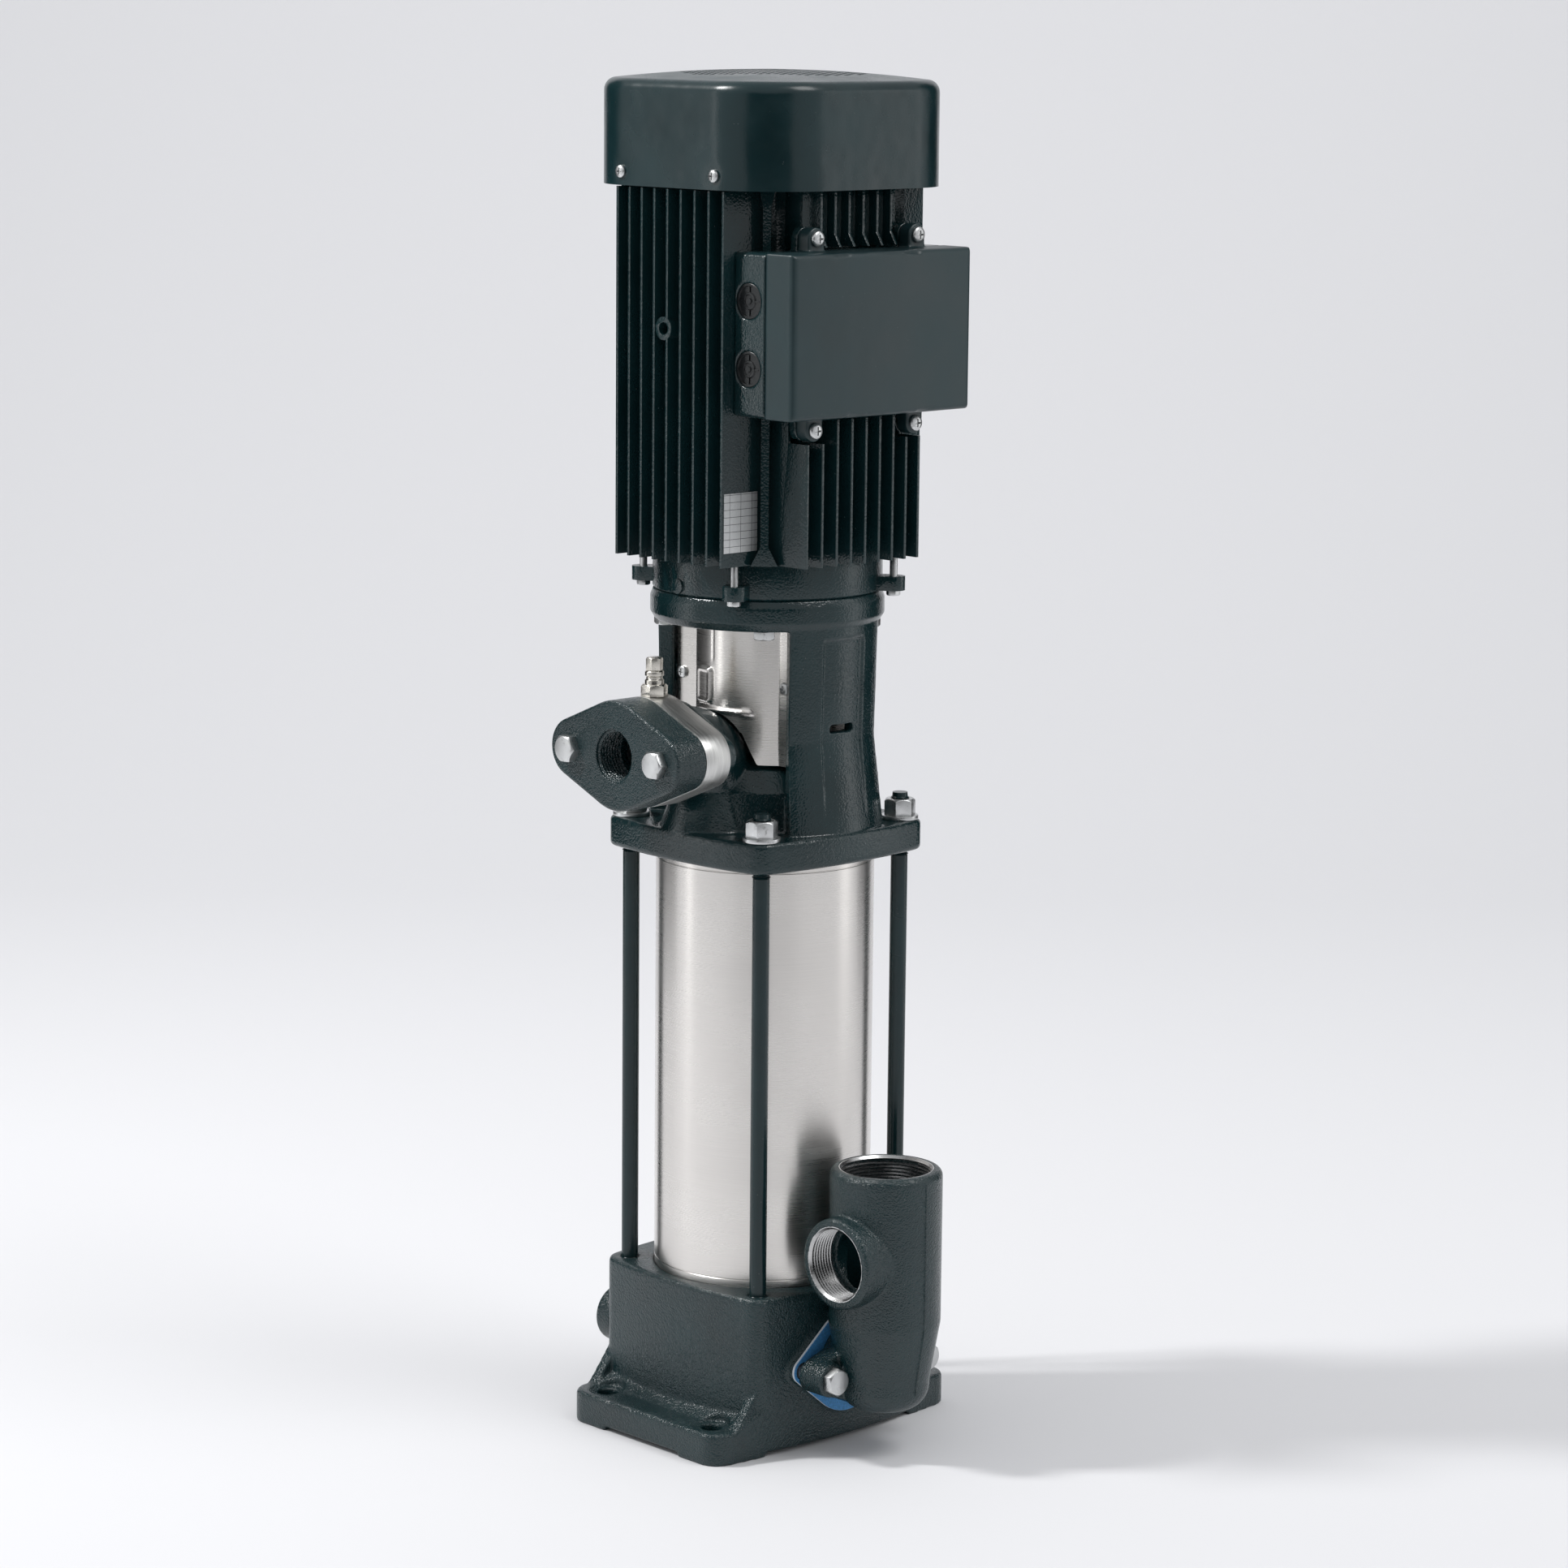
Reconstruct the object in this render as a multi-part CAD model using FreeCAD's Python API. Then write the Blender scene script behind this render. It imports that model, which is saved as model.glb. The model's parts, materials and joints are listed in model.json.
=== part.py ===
import FreeCAD, Part
import math
import os

from FreeCAD import Rotation, Vector

# Vertical multistage pump, in millimetres, standing on the plane z = 0.
# The origin is the centre of the four foot holes, on the floor and on the pump's axis.
# +Z points up, +X towards the port with the two-way elbow, -Y towards the discharge flange.

# Running and assembly clearances
running_clearance = 0.05
thread_clearance = 0.05
slip_clearance = 0.25
bolt_hole_clearance = 0.75
cutter_length = 400.0

# Outer sleeve and the stay bolt square round it
sleeve_outer_radius = 70.5
sleeve_wall = 2.0
sleeve_exposed_height = 274.5
sleeve_seat_depth = 6.0
sleeve_seal_width = 3.2
sleeve_seal_height = 3.0
stay_circle_clearance = 16.05
stay_boss_radius = 13.5
stay_side_beyond = 18.8
stay_pitch_diameter = 10.86
stay_thread_radius = 6.0
stay_thread_engagement = 22.0
stay_proud = 4.0
stay_nut_height = 10.8
stay_nut_flats = 18.0
stay_washer_radius = 12.0
stay_washer_thickness = 2.5
stay_offset = (sleeve_outer_radius + stay_circle_clearance) * math.sqrt(0.5)
stay_side_reach = stay_offset + stay_side_beyond
sleeve_inner_radius = sleeve_outer_radius - sleeve_wall

# Foot and base casting
base_height = 104.0
port_height = 54.0
port_face_proud = 1.0
foot_under_port = 3.5
foot_side_bulge = 6.0
foot_length_beyond = 45.3
foot_thickness = 21.0
foot_corner_radius = 15.0
foot_edge_rounding = 3.0
foot_hole_spacing_x = 100.0
foot_hole_spacing_y = 180.0
foot_hole_radius = 6.5
foot_spotface_radius = 11.5
foot_spotface_depth = 1.2
foot_relief_depth = 2.5
foot_pad_width = 36.0
foot_pad_length = 42.0
base_chamber_ledge = 7.5
base_chamber_floor_z = 29.0
base_floor_chamfer = 12.0
gusset_thickness = 8.0
gusset_height = 55.0
pedestal_rise = 43.0
port_passage_radius = 19.0
port_pad_ear_radius = 8.0
port_pad_half_height = 34.0
base_top_z = base_height
port_z = port_height
port_face_x = stay_side_reach + port_face_proud
foot_width = 2 * (port_face_x - foot_under_port - foot_side_bulge)
foot_length = 2 * (stay_offset + foot_length_beyond)
base_chamber_radius = sleeve_inner_radius - base_chamber_ledge
sleeve_bottom_z = base_top_z - sleeve_seat_depth

# Pump head: flange, domed chamber, two columns and motor ring
head_flange_thickness = 19.8
head_edge_rounding = 3.0
dome_inset = 8.5
dome_wall = 8.0
dome_shoulder_rise = 25.7
dome_rise = 43.7
seal_collar_radius = 25.0
seal_collar_height = 10.0
column_outside = 2.5
column_waist_inset = 1.7
column_foot_flare = 5.0
column_waist_rise = 57.7
column_wall = 11.0
column_half_angle = 32.0
column_panel_half_angle = 14.0
column_panel_depth = 1.6
column_slot_rise = 63.7
column_slot_width = 20.0
column_slot_height = 5.0
stool_height = 129.7
motor_ring_height = 19.6
motor_ring_lip = 2.0
motor_spigot_radius = 55.0
motor_spigot_height = 3.0
motor_bolt_circle_radius = 65.0
motor_bolt_radius = 4.0
motor_bolt_flats = 13.0
motor_bolt_head = 5.3
motor_bolt_engagement = 14.0
head_bottom_z = base_top_z + sleeve_exposed_height
head_top_z = head_bottom_z + head_flange_thickness
sleeve_top_z = head_bottom_z + sleeve_seat_depth
dome_radius = sleeve_outer_radius - dome_inset
dome_shoulder_z = head_top_z + dome_shoulder_rise
dome_top_z = head_top_z + dome_rise
seal_collar_top_z = dome_top_z + seal_collar_height
column_outer_radius = sleeve_outer_radius + column_outside
column_waist_radius = column_outer_radius - column_waist_inset
column_foot_radius = column_outer_radius + column_foot_flare
column_inner_radius = column_outer_radius - column_wall
column_waist_z = head_top_z + column_waist_rise
column_slot_z = head_top_z + column_slot_rise
motor_ring_bottom_z = head_top_z + stool_height
motor_ring_top_z = motor_ring_bottom_z + motor_ring_height
motor_ring_radius = column_outer_radius + motor_ring_lip

# Discharge neck, vent flange and counter flange
discharge_rise = 53.7
oval_half_height = 35.0
oval_ear_offset = 41.0
oval_ear_radius = 19.0
flange_bolt_radius = 5.0
flange_bolt_flats = 16.0
flange_bolt_head = 6.4
flange_bolt_engagement = 14.0
neck_radius = 26.0
neck_bore_radius = 17.0
neck_bend_radius = 30.0
neck_root_y = -45.0
neck_straight = 12.0
neck_flange_thickness = 12.0
neck_flange_ear_radius = 12.0
neck_flange_half_height = 30.0
neck_saddle_flare = 9.0
neck_saddle_height = 26.0
vent_flange_thickness = 20.0
counter_flange_thickness = 24.0
discharge_thread_radius = 16.62
discharge_thread_length = 18.0
gasket_thickness = 2.0
discharge_z = head_top_z + discharge_rise
neck_face_y = neck_root_y - neck_bend_radius - neck_straight
vent_flange_face_y = neck_face_y - vent_flange_thickness
counter_flange_face_y = vent_flange_face_y - counter_flange_thickness

# Vent valve on the vent flange
vent_stub_radius = 4.9
vent_stub_length = 8.0
vent_hex_flats = 15.0
vent_hex_height = 7.5
vent_barrel_radius = 6.0
vent_barrel_height = 8.5
vent_groove_depth = 0.8
vent_cap_flats = 9.5
vent_cap_height = 8.0
vent_spindle_radius = 2.8
vent_spindle_length = 12.0
vent_needle_radius = 1.6
vent_needle_length = 5.0
vent_tip_radius = 0.3
vent_tip_length = 2.0
vent_drill_radius = 1.0
vent_cap_gap = 0.3
vent_y = neck_face_y - vent_flange_thickness / 2
vent_base_z = discharge_z + oval_half_height
vent_top_z = vent_base_z + vent_hex_height + vent_barrel_height
vent_spindle_bottom_z = vent_top_z - vent_spindle_length

# Two-way suction elbow
elbow_offset = 31.5
elbow_radius = 36.0
elbow_top_z = 188.0
elbow_rim_rounding = 5.0
elbow_taper_start_z = 88.0
elbow_bottom_z = 30.0
elbow_heel_z = 50.0
elbow_heel_radius = 29.5
elbow_heel_rounding = 16.0
elbow_neck_radius = 27.0
elbow_passage_radius = 24.0
elbow_flat_height = 8.0
elbow_ear_gap = 7.0
elbow_ear_length = 20.0
elbow_ear_radius = 11.0
elbow_arm_inset = 3.0
top_thread_radius = 29.8
top_thread_length = 24.0
side_port_z = 132.0
side_port_radius = 29.25
side_port_face_y = -45.0
side_port_rounding = 2.5
side_thread_radius = 23.9
side_thread_length = 20.0
side_passage_radius = 19.0
elbow_face_x = port_face_x + gasket_thickness
elbow_axis_x = elbow_face_x + elbow_offset
elbow_flat_top_z = base_top_z + elbow_flat_height
elbow_ear_start_x = elbow_face_x + elbow_ear_gap
elbow_ear_end_x = elbow_ear_start_x + elbow_ear_length

# Blind flange on the unused base port
blind_flange_thickness = 14.0

# Stage stack
stage_count = 9
stack_start = 6.0
clamp_ring_height = 31.5
clamp_ring_wall = 6.0
chamber_inset = 12.5
chamber_wall = 1.6
guide_vane_count = 5
guide_vane_height = 6.0
guide_vane_thickness = 2.0
inlet_window_radius = 8.5
inlet_window_count = 8
impeller_inset = 11.0
impeller_height = 9.0
impeller_shroud = 1.6
impeller_eye_radius = 20.0
impeller_hub_radius = 12.0
impeller_blade_count = 6
impeller_blade_thickness = 1.8
impeller_blade_sweep = 55.0
impeller_lift = 7.0
pump_shaft_radius = 8.0
bearing_wall = 4.0
stage_neck_clearance = 0.4
stack_bottom_z = base_top_z + stack_start
stage_pitch = (sleeve_top_z - clamp_ring_height - stack_bottom_z) / stage_count
stack_top_z = stack_bottom_z + stage_count * stage_pitch
chamber_radius = sleeve_inner_radius - chamber_inset
impeller_radius = chamber_radius - impeller_inset

# Shaft seal and coupling
seal_bore_radius = 18.0
seal_lip_radius = 12.0
seal_lip_thickness = 3.0
seal_seat_height = 6.0
seal_ring_height = 9.0
seal_ring_wall = 6.0
coupling_radius = 26.0
coupling_above_collar = 12.0
coupling_height = 58.0
shaft_meeting_rise = 30.0
coupling_gap = 1.0
coupling_rounding = 3.0
coupling_screw_radius = 3.0
coupling_screw_offset = 19.0
coupling_screw_from_end = 13.0
coupling_screw_seat = 9.0
coupling_screw_grip = 8.0
coupling_screw_head_radius = 5.0
coupling_screw_head = 6.0
shaft_pin_radius = 2.5
shaft_pin_bite = 5.0
motor_shaft_radius = 12.0
shaft_end_gap = 4.0
seal_seat_z = dome_top_z - dome_wall + seal_lip_thickness
coupling_bottom_z = seal_collar_top_z + coupling_above_collar
coupling_top_z = coupling_bottom_z + coupling_height
shaft_meeting_z = coupling_bottom_z + shaft_meeting_rise
shaft_pin_z = coupling_bottom_z + shaft_meeting_rise / 2

# Coupling guards
guard_thickness = 1.0
guard_bottom_gap = 2.0
guard_top_gap = 0.8
guard_from_column = 9.0
guard_end_y = -28.0
guard_left_strip = 22.0
guard_step_run = 9.0
guard_step_depth = 12.0
guard_crown_depth = 17.0
guard_right_strip = 11.5
guard_neck_gap = 2.0
guard_screw_inset = 5.5
guard_screw_rise = 91.7
guard_screw_radius = 2.0
guard_screw_head = 2.4
guard_screw_length = 6.0
guard_lug_height = 12.0
guard_lug_depth = 8.0
guard_lug_reach = 12.0
guard_box_x = -8.5
guard_box_rise = 48.0
guard_box_half_width = 7.6
guard_box_half_height = 11.7
guard_box_depth = 2.2
guard_box_rounding = 1.8
guard_bead_rise = 33.0
guard_bead_radius = 1.3
guard_bead_from = -12.0
guard_bead_to = 26.0
guard_end_x = column_inner_radius - guard_from_column
guard_bottom_z = dome_top_z - guard_bottom_gap
guard_screw_z = head_top_z + guard_screw_rise

# Motor frame
shield_overhang = 1.5
drive_shield_height = 23.4
housing_height = 235.0
fin_end_gap = 4.0
tie_radius = 82.5
tie_angle = 32.0
tie_lug_radius = 7.5
tie_lug_rise = 1.4
tie_lug_height = 9.0
tie_bolt_radius = 2.5
tie_boss_height = 8.0
drain_boss_radius = 4.7
drain_boss_proud = 1.4
drain_boss_angle = -93.0
drain_boss_rise = 6.0
housing_bore_radius = 62.0
housing_wall = 6.0
corner_rib_reach = 84.0
corner_rib_width = 5.0
corner_rib_foot_width = 17.0
corner_rib_foot_height = 12.0
corner_rib_head_width = 9.0
corner_rib_head_height = 10.0
fin_count = 9
fin_pitch = 12.1
fin_thickness = 2.0
fin_reach = 88.2
fin_crown = 2.0
eye_boss_x = -3.0
eye_boss_rise = 145.0
eye_boss_radius = 7.25
eye_thread_radius = 4.0
eye_thread_length = 14.0
shield_radius = motor_ring_radius - shield_overhang
housing_bottom_z = motor_ring_top_z + drive_shield_height
housing_top_z = housing_bottom_z + housing_height
fin_top_z = housing_top_z - fin_end_gap
housing_core_radius = housing_bore_radius + housing_wall
tie_lug_bottom_z = motor_ring_top_z + tie_lug_rise
tie_lug_top_z = tie_lug_bottom_z + tie_lug_height
eye_boss_z = housing_bottom_z + eye_boss_rise

# Stator, rotor and bearings
stator_rise = 54.0
stator_height = 110.0
air_gap = 0.4
rotor_radius = 35.0
winding_inner_radius = 40.0
winding_outer_radius = 57.0
winding_height = 26.0
bearing_outer_radius = 26.0
bearing_width = 15.0
bearing_ring_wall = 3.5
bearing_housing_wall = 6.0
drive_bearing_rise = 5.4
rear_bearing_drop = 10.0
rear_shield_thickness = 12.0
rear_shield_spigot = 3.0
stator_bottom_z = housing_bottom_z + stator_rise
stator_top_z = stator_bottom_z + stator_height
drive_bearing_z = motor_ring_top_z + drive_bearing_rise
fan_bearing_z = housing_top_z - rear_bearing_drop
rear_shield_top_z = housing_top_z + rear_shield_thickness

# Fan and fan cover
fan_radius = 74.0
fan_above_shield = 6.0
fan_disc_thickness = 2.5
fan_blade_height = 24.0
fan_blade_count = 8
fan_blade_thickness = 2.5
fan_hub_radius = 18.0
shaft_beyond_fan = 4.0
cover_half_side = 88.85
cover_corner_radius = 49.0
cover_below_housing = 3.2
cover_height = 66.2
cover_edge_radius = 8.0
cover_wall = 1.5
cover_dome_height = 5.5
cover_arm_width = 10.0
cover_arm_height = 9.0
cover_arm_root = 40.0
grille_radius = 52.0
grille_first_radius = 6.0
grille_slot_width = 4.2
grille_ring_pitch = 8.4
grille_ring_count = 5
grille_bridge_width = 5.0
cover_screw_offset = 42.5
cover_screw_rise = 8.5
cover_screw_radius = 2.0
fan_disc_z = rear_shield_top_z + fan_above_shield
shaft_top_z = fan_disc_z + fan_blade_height + shaft_beyond_fan
cover_bottom_z = housing_top_z - cover_below_housing
cover_shoulder_z = cover_bottom_z + cover_height
cover_screw_z = cover_bottom_z + cover_screw_rise

# Terminal box
box_half_width = 77.5
box_height = 101.5
box_below_cover = 36.8
box_base_depth = 27.0
box_lid_depth = 25.0
box_beside_fins = 0.6
box_wall = 4.0
box_floor_wall = 3.0
box_edge_rounding = 4.0
lid_wall = 3.0
lid_crown = 1.5
lid_screw_y = 43.5
lid_screw_standoff = 8.0
lid_ear_radius = 7.0
lid_ear_depth = 10.0
base_ear_depth = 6.0
ear_clearance = 1.5
lid_screw_radius = 2.5
entry_from_joint = 15.0
entry_half_spacing = 20.8
entry_radius = 11.15
entry_depth = 3.0
entry_plug_thickness = 1.0
bracket_half_width = 40.0
bracket_depth = 2.5
bracket_rib_reach = 14.0
bracket_rib_count = 6
terminal_pad_thickness = 4.0
terminal_block_half_width = 21.0
terminal_block_height = 42.0
terminal_block_depth = 12.0
terminal_stud_pitch = 14.0
terminal_stud_half_row = 11.0
terminal_stud_radius = 2.0
terminal_stud_length = 8.0
fin_edge = (fin_count - 1) / 2 * fin_pitch
box_back_x = fin_edge + fin_thickness / 2 + box_beside_fins
box_joint_x = box_back_x + box_base_depth
box_lid_x = box_joint_x + box_lid_depth
box_top_z = cover_bottom_z - box_below_cover
box_bottom_z = box_top_z - box_height
box_middle_z = (box_bottom_z + box_top_z) / 2
entry_x = box_joint_x - entry_from_joint
bracket_face_x = housing_core_radius + bracket_depth
terminal_pad_x = housing_core_radius + box_floor_wall + terminal_pad_thickness

# Nameplate
nameplate_width = 28.0
nameplate_height = 37.0
nameplate_rise = 9.0
nameplate_thickness = 0.6
nameplate_bottom_z = housing_bottom_z + nameplate_rise

up = Vector(0, 0, 1)


def cylinder(radius, length, start, direction=up):
    """Solid cylinder from a start point along a direction."""
    return Part.makeCylinder(radius, length, Vector(*start), Vector(*direction))


def tube(outer, inner, bottom, top):
    """Ring about the pump's axis between two heights."""
    height = top - bottom
    return cylinder(outer, height, (0, 0, bottom)).cut(cylinder(inner, height, (0, 0, bottom)))


def block(low, high):
    """Box between two corners."""
    size = [b - a for a, b in zip(low, high)]
    return Part.makeBox(size[0], size[1], size[2], Vector(*low))


def joined(solids):
    """One solid from several that touch or overlap."""
    whole = solids[0]
    for solid in solids[1:]:
        whole = whole.fuse(solid)
    return whole.removeSplitter()


def turned(profile, axis_x=0.0, axis_y=0.0):
    """Solid of revolution about a vertical axis from radius and height pairs."""
    points = [Vector(axis_x + r, axis_y, z) for r, z in profile]
    face = Part.Face(Part.makePolygon(points + [points[0]]))
    return face.revolve(Vector(axis_x, axis_y, 0), up, 360)


def extruded(outline, direction):
    """Solid swept straight from a closed outline of edges."""
    return Part.Face(Part.Wire(outline)).extrude(Vector(*direction))


def around(solid, count, start_angle=0.0):
    """Copies of a solid spaced evenly about the pump's axis."""
    copies = []
    for index in range(count):
        copy = solid.copy()
        copy.rotate(Vector(0, 0, 0), up, start_angle + index * 360.0 / count)
        copies.append(copy)
    return copies


def hexagon_prism(flats, height, start, direction=up, bore=0.0):
    """Hexagonal prism with a lightly turned top, as on a nut or bolt head."""
    corner = flats / math.sqrt(3)
    points = []
    for index in range(7):
        angle = math.radians(60 * index)
        points.append(Vector(corner * math.cos(angle), corner * math.sin(angle), 0))
    prism = Part.Face(Part.makePolygon(points)).extrude(Vector(0, 0, height))
    cone = Part.makeCone(corner + height * 1.2, flats / 2 * 0.96, height * 1.3)
    cone.translate(Vector(0, 0, -height * 0.3))
    prism = prism.common(cone)
    if bore:
        prism = prism.cut(Part.makeCylinder(bore, height))
    return aimed(prism, start, direction)


def aimed(solid, start, direction):
    """A solid modelled along +Z, turned to a direction and moved to a start point."""
    placed = solid.copy()
    placed.Placement = FreeCAD.Placement(Vector(*start), Rotation(up, Vector(*direction)))
    return placed


def pan_head_screw(radius, head_height, shank_length, start, direction):
    """Pan-head screw whose head seats at the start point and looks along the direction."""
    head_radius = radius * 2.0
    head = Part.makeCylinder(head_radius, head_height * 0.6)
    crown = Part.makeCone(head_radius, head_radius * 0.6, head_height * 0.4)
    crown.translate(Vector(0, 0, head_height * 0.6))
    shank = Part.makeCylinder(radius - thread_clearance, shank_length, Vector(0, 0, -shank_length))
    return aimed(joined([head, crown, shank]), start, direction)


def hex_bolt(radius, flats, head_height, shank_length, start, direction):
    """Hexagon bolt whose head seats at the start point and looks along the direction."""
    head = hexagon_prism(flats, head_height, (0, 0, 0))
    shank = Part.makeCylinder(radius - thread_clearance, shank_length, Vector(0, 0, -shank_length))
    return aimed(joined([head, shank]), start, direction)


def rounded_outline(half_x, half_y, radius, z, bulge=0.0):
    """Rectangle with round corners at height z, whose X sides may bow outwards."""
    ends_x = half_x - radius
    ends_y = half_y - radius
    reach = radius * math.sqrt(0.5)
    edges = []
    for side in (1, -1):
        first = Vector(side * half_x, -side * ends_y, z)
        last = Vector(side * half_x, side * ends_y, z)
        if bulge:
            edges.append(Part.Arc(first, Vector(side * (half_x + bulge), 0, z), last).toShape())
        else:
            edges.append(Part.makeLine(first, last))
        corner_end = Vector(side * ends_x, side * half_y, z)
        corner_mid = Vector(side * (ends_x + reach), side * (ends_y + reach), z)
        edges.append(Part.Arc(last, corner_mid, corner_end).toShape())
        far_end = Vector(-side * ends_x, side * half_y, z)
        edges.append(Part.makeLine(corner_end, far_end))
        far_mid = Vector(-side * (ends_x + reach), side * (ends_y + reach), z)
        edges.append(Part.Arc(far_end, far_mid, Vector(-side * half_x, side * ends_y, z)).toShape())
    return edges


def stay_outline(z):
    """Square flange outline: round corners about the stay bolts and bowed sides."""
    gap = stay_side_reach - stay_boss_radius
    centre = (2 * stay_offset ** 2 - gap ** 2) / (2 * (gap - stay_offset))
    side_radius = centre + stay_side_reach
    tangent = math.atan2(stay_offset, centre + stay_offset)
    edges = []
    for index in range(4):
        turn = math.radians(90 * index)

        def point(x, y):
            return Vector(x * math.cos(turn) - y * math.sin(turn),
                          x * math.sin(turn) + y * math.cos(turn), z)

        swing_x = side_radius * math.cos(tangent) - centre
        swing_y = side_radius * math.sin(tangent)
        edges.append(Part.Arc(point(swing_x, -swing_y), point(stay_side_reach, 0),
                              point(swing_x, swing_y)).toShape())
        corner = stay_offset + stay_boss_radius * math.sqrt(0.5)
        edges.append(Part.Arc(point(swing_x, swing_y), point(corner, corner),
                              point(swing_y, swing_x)).toShape())
    return edges


def oval_outline(half_height, ear_offset, ear_radius):
    """Two-bolt flange outline in the plane of X and Y: a round middle and two round ears."""
    lean = math.acos((half_height - ear_radius) / ear_offset)
    edges = []
    for side in (1, -1):
        ear = Vector(side * ear_offset, 0, 0)
        out_x = side * math.cos(lean)
        out_y = side * math.sin(lean)
        ear_low = ear + Vector(out_x * ear_radius, -out_y * ear_radius, 0)
        ear_high = ear + Vector(out_x * ear_radius, out_y * ear_radius, 0)
        tip = ear + Vector(side * ear_radius, 0, 0)
        edges.append(Part.Arc(ear_low, tip, ear_high).toShape())
        middle_high = Vector(out_x * half_height, out_y * half_height, 0)
        edges.append(Part.makeLine(ear_high, middle_high))
        middle_far = Vector(-out_x * half_height, out_y * half_height, 0)
        top = Vector(0, side * half_height, 0)
        edges.append(Part.Arc(middle_high, top, middle_far).toShape())
        edges.append(Part.makeLine(middle_far, Vector(-side * ear_offset, 0, 0)
                                   + Vector(-out_x * ear_radius, out_y * ear_radius, 0)))
    return edges


def oval_plate(half_height, ear_radius, thickness, bore, bolt_hole):
    """Two-bolt flange plate along +Z with its bore and bolt holes."""
    plate = extruded(oval_outline(half_height, oval_ear_offset, ear_radius), (0, 0, thickness))
    for side in (1, -1):
        plate = plate.cut(cylinder(bolt_hole, thickness, (side * oval_ear_offset, 0, 0)))
    if bore:
        plate = plate.cut(cylinder(bore, thickness, (0, 0, 0)))
    return plate


def on_discharge(solid, y):
    """A plate modelled along +Z, placed on the discharge axis to face -Y from y."""
    placed = solid.copy()
    placed.rotate(Vector(0, 0, 0), Vector(1, 0, 0), 90)
    placed.translate(Vector(0, y, discharge_z))
    return placed


def on_port(solid, x, side):
    """A plate modelled along +Z, placed on a base port to face outwards from x."""
    placed = solid.copy()
    placed.rotate(Vector(0, 0, 0), Vector(1, 0, 0), 90)
    placed.rotate(Vector(0, 0, 0), up, 90 * side)
    placed.translate(Vector(x, 0, port_z))
    return placed


def edges_at(solid, z):
    """Edges that lie wholly at one height."""
    found = []
    for edge in solid.Edges:
        box = edge.BoundBox
        if abs(box.ZMin - z) < 1e-6 and abs(box.ZMax - z) < 1e-6:
            found.append(edge)
    return found


def stay_points():
    """The four stay bolt axes in plan."""
    return [(sx * stay_offset, sy * stay_offset) for sx in (1, -1) for sy in (1, -1)]


def base_casting():
    """Foot plate, inlet chamber, port pads, pedestals and gussets in one casting."""
    bulge = foot_side_bulge
    outline = rounded_outline(foot_width / 2, foot_length / 2, foot_corner_radius, 0, bulge)
    foot = extruded(outline, (0, 0, foot_thickness))
    foot = foot.makeFillet(foot_edge_rounding, edges_at(foot, foot_thickness))
    body = extruded(stay_outline(foot_relief_depth), (0, 0, base_top_z - foot_relief_depth))
    body = body.makeFillet(foot_edge_rounding, edges_at(body, base_top_z))
    gusset_y = foot_length / 2 - foot_corner_radius - foot_edge_rounding
    slope = Part.makePolygon([Vector(-foot_width, y, z) for y, z in (
        (-gusset_y, 0), (-gusset_y, foot_thickness), (-oval_ear_offset, pedestal_rise),
        (oval_ear_offset, pedestal_rise), (gusset_y, foot_thickness), (gusset_y, 0),
        (-gusset_y, 0))])
    plan = rounded_outline(foot_width / 2, foot_length / 2, foot_corner_radius, 0, bulge)
    pedestal = Part.Face(slope).extrude(Vector(2 * foot_width, 0, 0))
    pedestal = pedestal.common(extruded(plan, (0, 0, base_top_z)))
    solids = [foot, body, pedestal]
    pad = extruded(oval_outline(port_pad_half_height, oval_ear_offset, port_pad_ear_radius),
                   (0, 0, flange_bolt_engagement + 6))
    for side_x in (1, -1):
        web_x = side_x * (foot_width / 2 - gusset_thickness / 2) - gusset_thickness / 2
        for side_y in (1, -1):
            web = Part.makePolygon([Vector(web_x, side_y * y, z) for y, z in (
                (stay_offset, gusset_height), (gusset_y, foot_thickness - 1),
                (stay_offset, foot_thickness - 1), (stay_offset, gusset_height))])
            solids.append(Part.Face(web).extrude(Vector(gusset_thickness, 0, 0)))
        solids.append(on_port(pad, side_x * (port_face_x - flange_bolt_engagement - 6), side_x))
    casting = joined(solids)
    chamber = turned([(0, base_chamber_floor_z),
                      (base_chamber_radius - base_floor_chamfer, base_chamber_floor_z),
                      (base_chamber_radius, base_chamber_floor_z + base_floor_chamfer),
                      (base_chamber_radius, sleeve_bottom_z),
                      (sleeve_outer_radius + slip_clearance, sleeve_bottom_z),
                      (sleeve_outer_radius + slip_clearance, base_top_z), (0, base_top_z)])
    casting = casting.cut(chamber)
    casting = casting.cut(cylinder(port_passage_radius, 2 * port_face_x,
                                   (-port_face_x, 0, port_z), (1, 0, 0)))
    for side_x in (1, -1):
        for side_y in (1, -1):
            start = (side_x * port_face_x, side_y * oval_ear_offset, port_z)
            casting = casting.cut(cylinder(flange_bolt_radius, flange_bolt_engagement + 4, start,
                                           (-side_x, 0, 0)))
    depth = stay_thread_engagement + 4
    for x, y in stay_points():
        casting = casting.cut(cylinder(stay_thread_radius, depth, (x, y, base_top_z - depth)))
    for side_x in (1, -1):
        for side_y in (1, -1):
            place = (side_x * foot_hole_spacing_x / 2, side_y * foot_hole_spacing_y / 2)
            casting = casting.cut(cylinder(foot_hole_radius, foot_thickness, (*place, 0)))
            seat = foot_thickness - foot_spotface_depth
            casting = casting.cut(cylinder(foot_spotface_radius, pedestal_rise, (*place, seat)))
    gap_x = foot_width / 2 - foot_pad_width
    gap_y = foot_length / 2 - foot_pad_length
    casting = casting.cut(block((-gap_x, -foot_length, 0), (gap_x, foot_length, foot_relief_depth)))
    casting = casting.cut(block((-foot_width, -gap_y, 0), (foot_width, gap_y, foot_relief_depth)))
    return casting


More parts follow.
